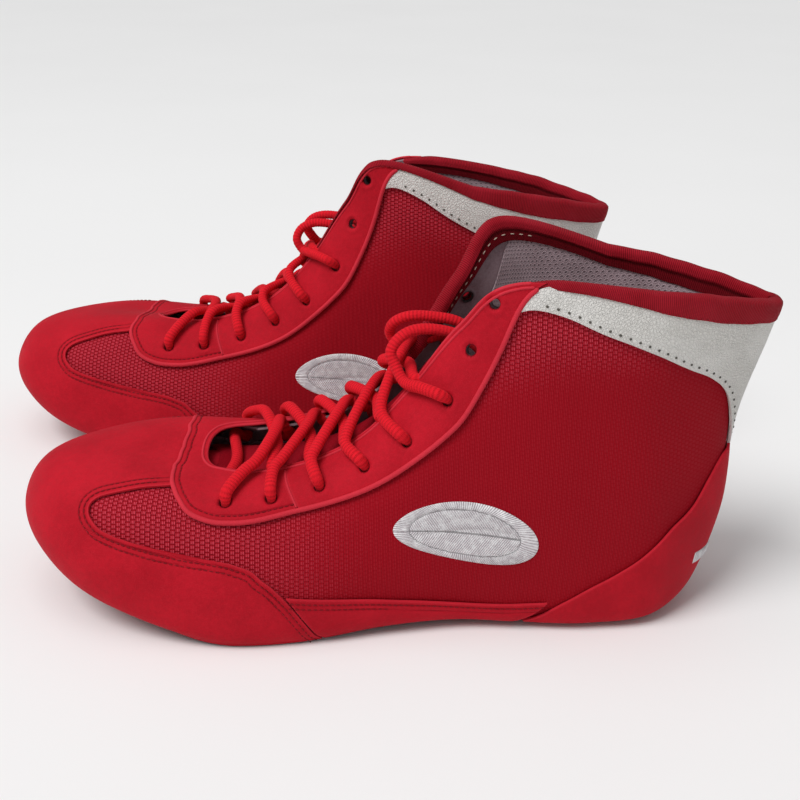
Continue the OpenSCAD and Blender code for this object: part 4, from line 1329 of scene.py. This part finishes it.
# Lace: a bar under the first row, then criss-cross, with both tails tucked down inside the boot
def crossing(side, k):
    a, b = eyelets[k], eyelets[k + 1]
    over, under = laceSet["over"], laceSet["under"]
    bow = laceSet["bow"][k]
    return [offSkin(side * a[0], a[1], under), offSkin(side * a[0], a[1] + 0.03, 0.6),
            offSkin(side * (a[0] - 0.03), a[1] + 0.2, over),
            offSkin(side * (a[0] - bow), 4.6, over + 1.5),
            offSkin(side * (a[0] - bow * 0.8), 5, over + 1.9),
            gapPoint(a[0] * 0.55 + b[0] * 0.45, side * laceSet["cross"] + laceSet["rise"]),
            offSkin(-side * (b[0] - 0.3), 4.97, 1.3), offSkin(-side * (b[0] - 0.2), 4.86, -2.7),
            offSkin(-side * (b[0] - 0.06), 4.5, under - 0.3)]


def strand(side):
    points = []
    for k in range(laceSet["rowsLaced"] - 1):
        points += crossing(side if k % 2 == 0 else -side, k)
    return points


def lastHole(side):
    a = eyelets[laceSet["rowsLaced"] - 1]
    over = laceSet["over"]
    return [offSkin(side * a[0], a[1], laceSet["under"]), offSkin(side * a[0], a[1] + 0.02, 0.4),
            offSkin(side * (a[0] - 0.05), a[1] + 0.18, over),
            offSkin(side * (a[0] - 0.2), (a[1] + 5) / 2, over + 0.6),
            offSkin(side * (a[0] - 0.4), 5, over + 0.6)]


firstBar = [offSkin(2.6, 4.5, laceSet["under"]), gapPoint(2.3, -5.2),
            offSkin(-2.6, 4.5, laceSet["under"])]
laceControls = (laceSet["innerTail"][::-1] + lastHole(-1)[::-1] + strand(1)[::-1] + firstBar + strand(-1)
                + lastHole(1) + laceSet["outerTail"])
lacePath = smoothPath(laceControls, 0.42)
laceLength = float(np.linalg.norm(np.diff(lacePath, axis=0), axis=1).sum())
print("lace length", round(laceLength), "mm, each aglet", laceSet["agletLength"], "mm more")
seat(addTube("lace", lacePath, (laceSet["wide"], laceSet["thick"]), 12,
             rib=(laceSet["ribPitch"], laceSet["rib"], 0.9),
             pinch=[offSkin(side * u, v, 0.8) for side in (1, -1) for u, v in eyelets]),
     paints["lace"], ["lace"])


def addAglets():
    parts = []
    for tail in (laceSet["outerTail"], laceSet["innerTail"]):
        end, before = np.array(tail[-1], float), np.array(tail[-2], float)
        ahead = unit(end - before)
        steps = np.linspace(-2, laceSet["agletLength"], 40)[:, None]
        parts.append(addTube("aglets", end + steps * ahead, (laceSet["aglet"], laceSet["aglet"]), 16))
    pick(parts[0])
    parts[1].select_set(True)
    bpy.ops.object.join()
    return parts[0]


seat(addAglets(), paints["film"], ["aglets"])
print("lace done")

# Sole: outsole, board, sock liner and tread pads
soleSet = {"tread": 2.0, "outsole": 3.2, "sock": 3.0, "sockUp": 7.8, "spring": (-60, 65, 19),
           "ringX": -34, "ringRadius": 21, "groove": 1.0}


def soleRise(x):
    start, run, rise = soleSet["spring"]
    return rise * (np.maximum(0, start - x) / run) ** 2


def rimPoint(u, v, inset):
    m = skinNormal(u, v)
    flatOut = unit(m * np.array([1, 1, 0]))
    return skin(u, v) - inset * flatOut


def addPlate(name, v, inset, low, high, counts):
    piece, s, t = addGrid(name, counts)
    u = 10 * (0.5 - 0.5 * np.cos(math.pi * s))
    turn = 2 * math.pi * t
    share = 0.5 - 0.5 * np.sign(np.cos(turn)) * np.abs(np.cos(turn)) ** 0.8
    a, b = rimPoint(u, v, inset), rimPoint(-u, v, inset)
    p = mix(a, b, share[..., None])
    bulge = np.abs(np.sin(turn)) ** 0.35 * np.sign(np.sin(turn))
    z = (low + high) / 2 + (high - low) / 2 * -bulge + soleRise(p[..., 0])
    points = np.stack([p[..., 0], p[..., 1], z], -1)
    writePoints(piece, points.reshape(-1, 3))
    writeCloth(piece, points[..., :2].reshape(-1, 2))
    mergeDoubles(piece, 0.004)
    turnOutwards(piece, fill=True)
    smoothShade(piece, 50)
    return piece


def addTread(name, front, rear, inset, counts):
    piece, s, t = addGrid(name, counts)
    u = mix(front, rear, s)
    p = mix(rimPoint(u, 0, inset), rimPoint(-u, 0, inset), 1 - t[..., None])
    points = np.stack([p[..., 0], p[..., 1], np.full(s.shape, soleSet["tread"])], -1).reshape(-1, 3)
    writePoints(piece, points)
    turnOutwards(piece)
    if piece.data.polygons[0].normal.z < 0:
        piece.data.flip_normals()
    applyModifier(piece, "SOLIDIFY", thickness=soleSet["tread"], offset=-1)
    points = readPoints(piece)
    under = points[:, 2] < soleSet["tread"] / 2
    x, y = points[:, 0], points[:, 1]
    fromRing = np.abs(np.hypot(x - soleSet["ringX"], y) - soleSet["ringRadius"])
    zigzag = np.abs(((x + 3.2 * np.abs(((y / 12) % 2) - 1) * 2) / 7.0) % 1 - 0.5) * 7.0
    cut = np.where(zigzag < 0.9, soleSet["groove"], 0.0)
    cut = np.where(np.hypot(x - soleSet["ringX"], y) < soleSet["ringRadius"] + 3, 0.0, cut)
    cut = np.where(fromRing < 1.1, soleSet["groove"], cut)
    points[under, 2] += cut[under]
    writePoints(piece, points)
    writeCloth(piece, points[:, :2])
    smoothShade(piece, 30)
    return piece


seat(addPlate("outsole", 0, 0.4, soleSet["tread"], soleSet["tread"] + soleSet["outsole"], (150, 90)),
     paints["rubber"], ["outsole"])
seat(addTread("forefootTread", 2.95, 4.65, 5, (76, 90)), paints["rubber"],
     ["forefoot_tread"])
seat(addTread("heelTread", 6.8, 9.4, 4, (80, 56)), paints["rubber"], ["heel_tread"])
seat(addPlate("sockLiner", 0.8, 5, soleSet["sockUp"], soleSet["sockUp"] + soleSet["sock"], (110, 70)),
     paints["lining"], ["sock_liner"])
for side in boots:
    for nodeName in ("lasting_board", "toe_puff", "heel_stiffener"):
        node = frame["nodes"][side + "_" + nodeName]
        node.data.materials.clear()
        node.data.materials.append(paints["board"])
print("sole done")

# Plain oval embroidery on each side, and a plain bar at the heel
markSet = {"u": 6.25, "v": 2.12, "halfU": 1.02, "halfV": 0.38, "tilt": -0.27, "rise": 0.8,
           "rimShare": 0.76, "long": 27, "tall": 10, "barHalf": 0.5, "bar": (1.36, 1.5)}


def addBadge(name, side):
    piece, s, t = addGrid(name, (130, 60))
    a, b = 2 * s - 1, 2 * t - 1
    x, y = a * np.sqrt(1 - b * b / 2), b * np.sqrt(1 - a * a / 2)
    u = markSet["u"] + markSet["halfU"] * x
    v = markSet["v"] + markSet["tilt"] * (u - markSet["u"]) + markSet["halfV"] * y
    rim = np.hypot(x, y)
    pillow = np.sqrt(np.clip(1 - rim ** 8, 0, 1))
    split = np.abs(y - 0.16 * np.sin(3 * x + 0.6))
    h = (0.15 + markSet["rise"] * pillow - 0.4 * np.exp(-((rim - 0.76) / 0.035) ** 2)
         - 0.35 * np.exp(-(split / 0.06) ** 2) * ease(0.74, 0.68, rim) - 0.15 * ease(0.76, 0.70, rim))
    u, v = (u, v) if side > 0 else (-u[:, ::-1], v[:, ::-1])
    h = h if side > 0 else h[:, ::-1]
    writePoints(piece, offSkin(u, v, h).reshape(-1, 3))
    base = skin(u, v)
    rim, y, x = (rim, y, x) if side > 0 else (rim[:, ::-1], y[:, ::-1], x[:, ::-1])
    turn = np.arctan2(y, x)
    ringTurn = np.linspace(-math.pi, math.pi, 400)
    ringRun = np.cumsum(np.hypot(markSet["long"] * np.sin(ringTurn), markSet["tall"] * np.cos(ringTurn)))
    ringRun = ringRun * 2 * math.pi / 400
    across = np.where(rim > markSet["rimShare"], np.interp(turn, ringTurn, ringRun),
                      base[..., 0] * 0.9 + base[..., 2] * np.sign(y) * 0.6)
    writeCloth(piece, np.stack([across.ravel(), base[..., 2].ravel()], -1))
    applyModifier(piece, "SOLIDIFY", thickness=0.55, offset=-1)
    smoothShade(piece, 60)
    return piece


for side, nodeName in ((1, "lateral_badge"), (-1, "medial_badge")):
    seat(addBadge(nodeName.replace("_b", "B"), side), paints["satin"], [nodeName])


def addHeelBar():
    piece, s, t = addGrid("heelBar", (70, 16))
    u, v = mix(10 - markSet["barHalf"], 10 + markSet["barHalf"], s), mix(*markSet["bar"], t)
    pillow = np.clip((1 - (2 * s - 1) ** 10) * (1 - (2 * t - 1) ** 6), 0, 1) ** 0.5
    writePoints(piece, offSkin(u, v, 1.75 + 0.75 * pillow).reshape(-1, 3))
    base = skin(u, v)
    writeCloth(piece, np.stack([arcs(base, 1).ravel(), arcs(base, 0).ravel()], -1))
    applyModifier(piece, "SOLIDIFY", thickness=0.35, offset=-1)
    smoothShade(piece, 60)
    return piece


seat(addHeelBar(), paints["satin"], ["heel_bar"])
print("marks done")

# Stitches: one small capsule, copied along every seam
def addThread(name, runs):
    deselectAll()
    bpy.ops.mesh.primitive_uv_sphere_add(segments=7, ring_count=5, radius=1)
    template = bpy.context.object
    shape = readPoints(template)[:, [2, 0, 1]]
    half, width = seamSet["length"] / 2, seamSet["width"] / 2
    shape[:, 0] = np.sign(shape[:, 0]) * np.abs(shape[:, 0]) ** 0.7 * half
    shape[:, 1:] *= width
    return copyMany(name, template, [(shape, *run) for run in runs])


for colour, paintName, slotName in (("thread_red", "threadRed", "thread_red"),
                                    ("thread_light", "threadLight", "thread_light"),
                                    ("thread_white", "threadWhite", "thread_light")):
    if threadRuns[colour]:
        seat(addThread(paintName, threadRuns[colour]), paints[paintName])
print("stitches done")

# Floor and soft studio light
stageSet = {"floor": 6.0, "floorShade": 0.86, "world": 0.36, "sunFrom": (-0.55, -0.42, 1.0), "sun": 1.95,
            "sunSpread": 30, "topFrom": (-0.35, -0.2, 1.4), "topSize": (1.1, 0.9), "top": 4}


def addStage():
    deselectAll()
    bpy.ops.mesh.primitive_grid_add(x_subdivisions=2, y_subdivisions=2, size=stageSet["floor"],
                                    location=(0, 0, -0.0005))
    floor = bpy.context.object
    floor.name = "floor"
    p = Paint("paleFloor", {"Specular IOR Level": 0.2})
    place = p.solid()
    shade = stageSet["floorShade"]
    cloud = p.noise(place, 0.004, 2.0)
    p.finish(p.blend(cloud, rgb(shade, shade, shade), rgb(shade + 0.03, shade + 0.03, shade + 0.03)),
             0.8 + cloud * 0.05)
    floor.data.materials.append(p.material)
    world = bpy.context.scene.world or bpy.data.worlds.new("studio")
    bpy.context.scene.world = world
    world.use_nodes = True
    background = next(node for node in world.node_tree.nodes if node.type == "BACKGROUND")
    background.inputs["Color"].default_value = rgb(1.0, 1.0, 1.0)
    background.inputs["Strength"].default_value = stageSet["world"]


def addLight(name, place, target, size, power):
    bpy.ops.object.light_add(type="AREA", location=place)
    light = bpy.context.object
    light.name = name
    light.data.shape = "RECTANGLE"
    light.data.size, light.data.size_y = size
    light.data.energy = power
    light.rotation_euler = (Vector(target) - Vector(place)).to_track_quat("-Z", "Y").to_euler()


def addSun(name, come, power, spread):
    bpy.ops.object.light_add(type="SUN", location=come)
    light = bpy.context.object
    light.name = name
    light.data.energy = power
    light.data.angle = math.radians(spread)
    light.rotation_euler = (-Vector(come)).to_track_quat("-Z", "Y").to_euler()


addStage()
bpy.context.scene.view_settings.view_transform = "Standard"
addSun("keyLight", stageSet["sunFrom"], stageSet["sun"], stageSet["sunSpread"])
addLight("topLight", stageSet["topFrom"], (0, 0, 0.08), stageSet["topSize"], stageSet["top"])
print("stage done,", len(made), "pieces")
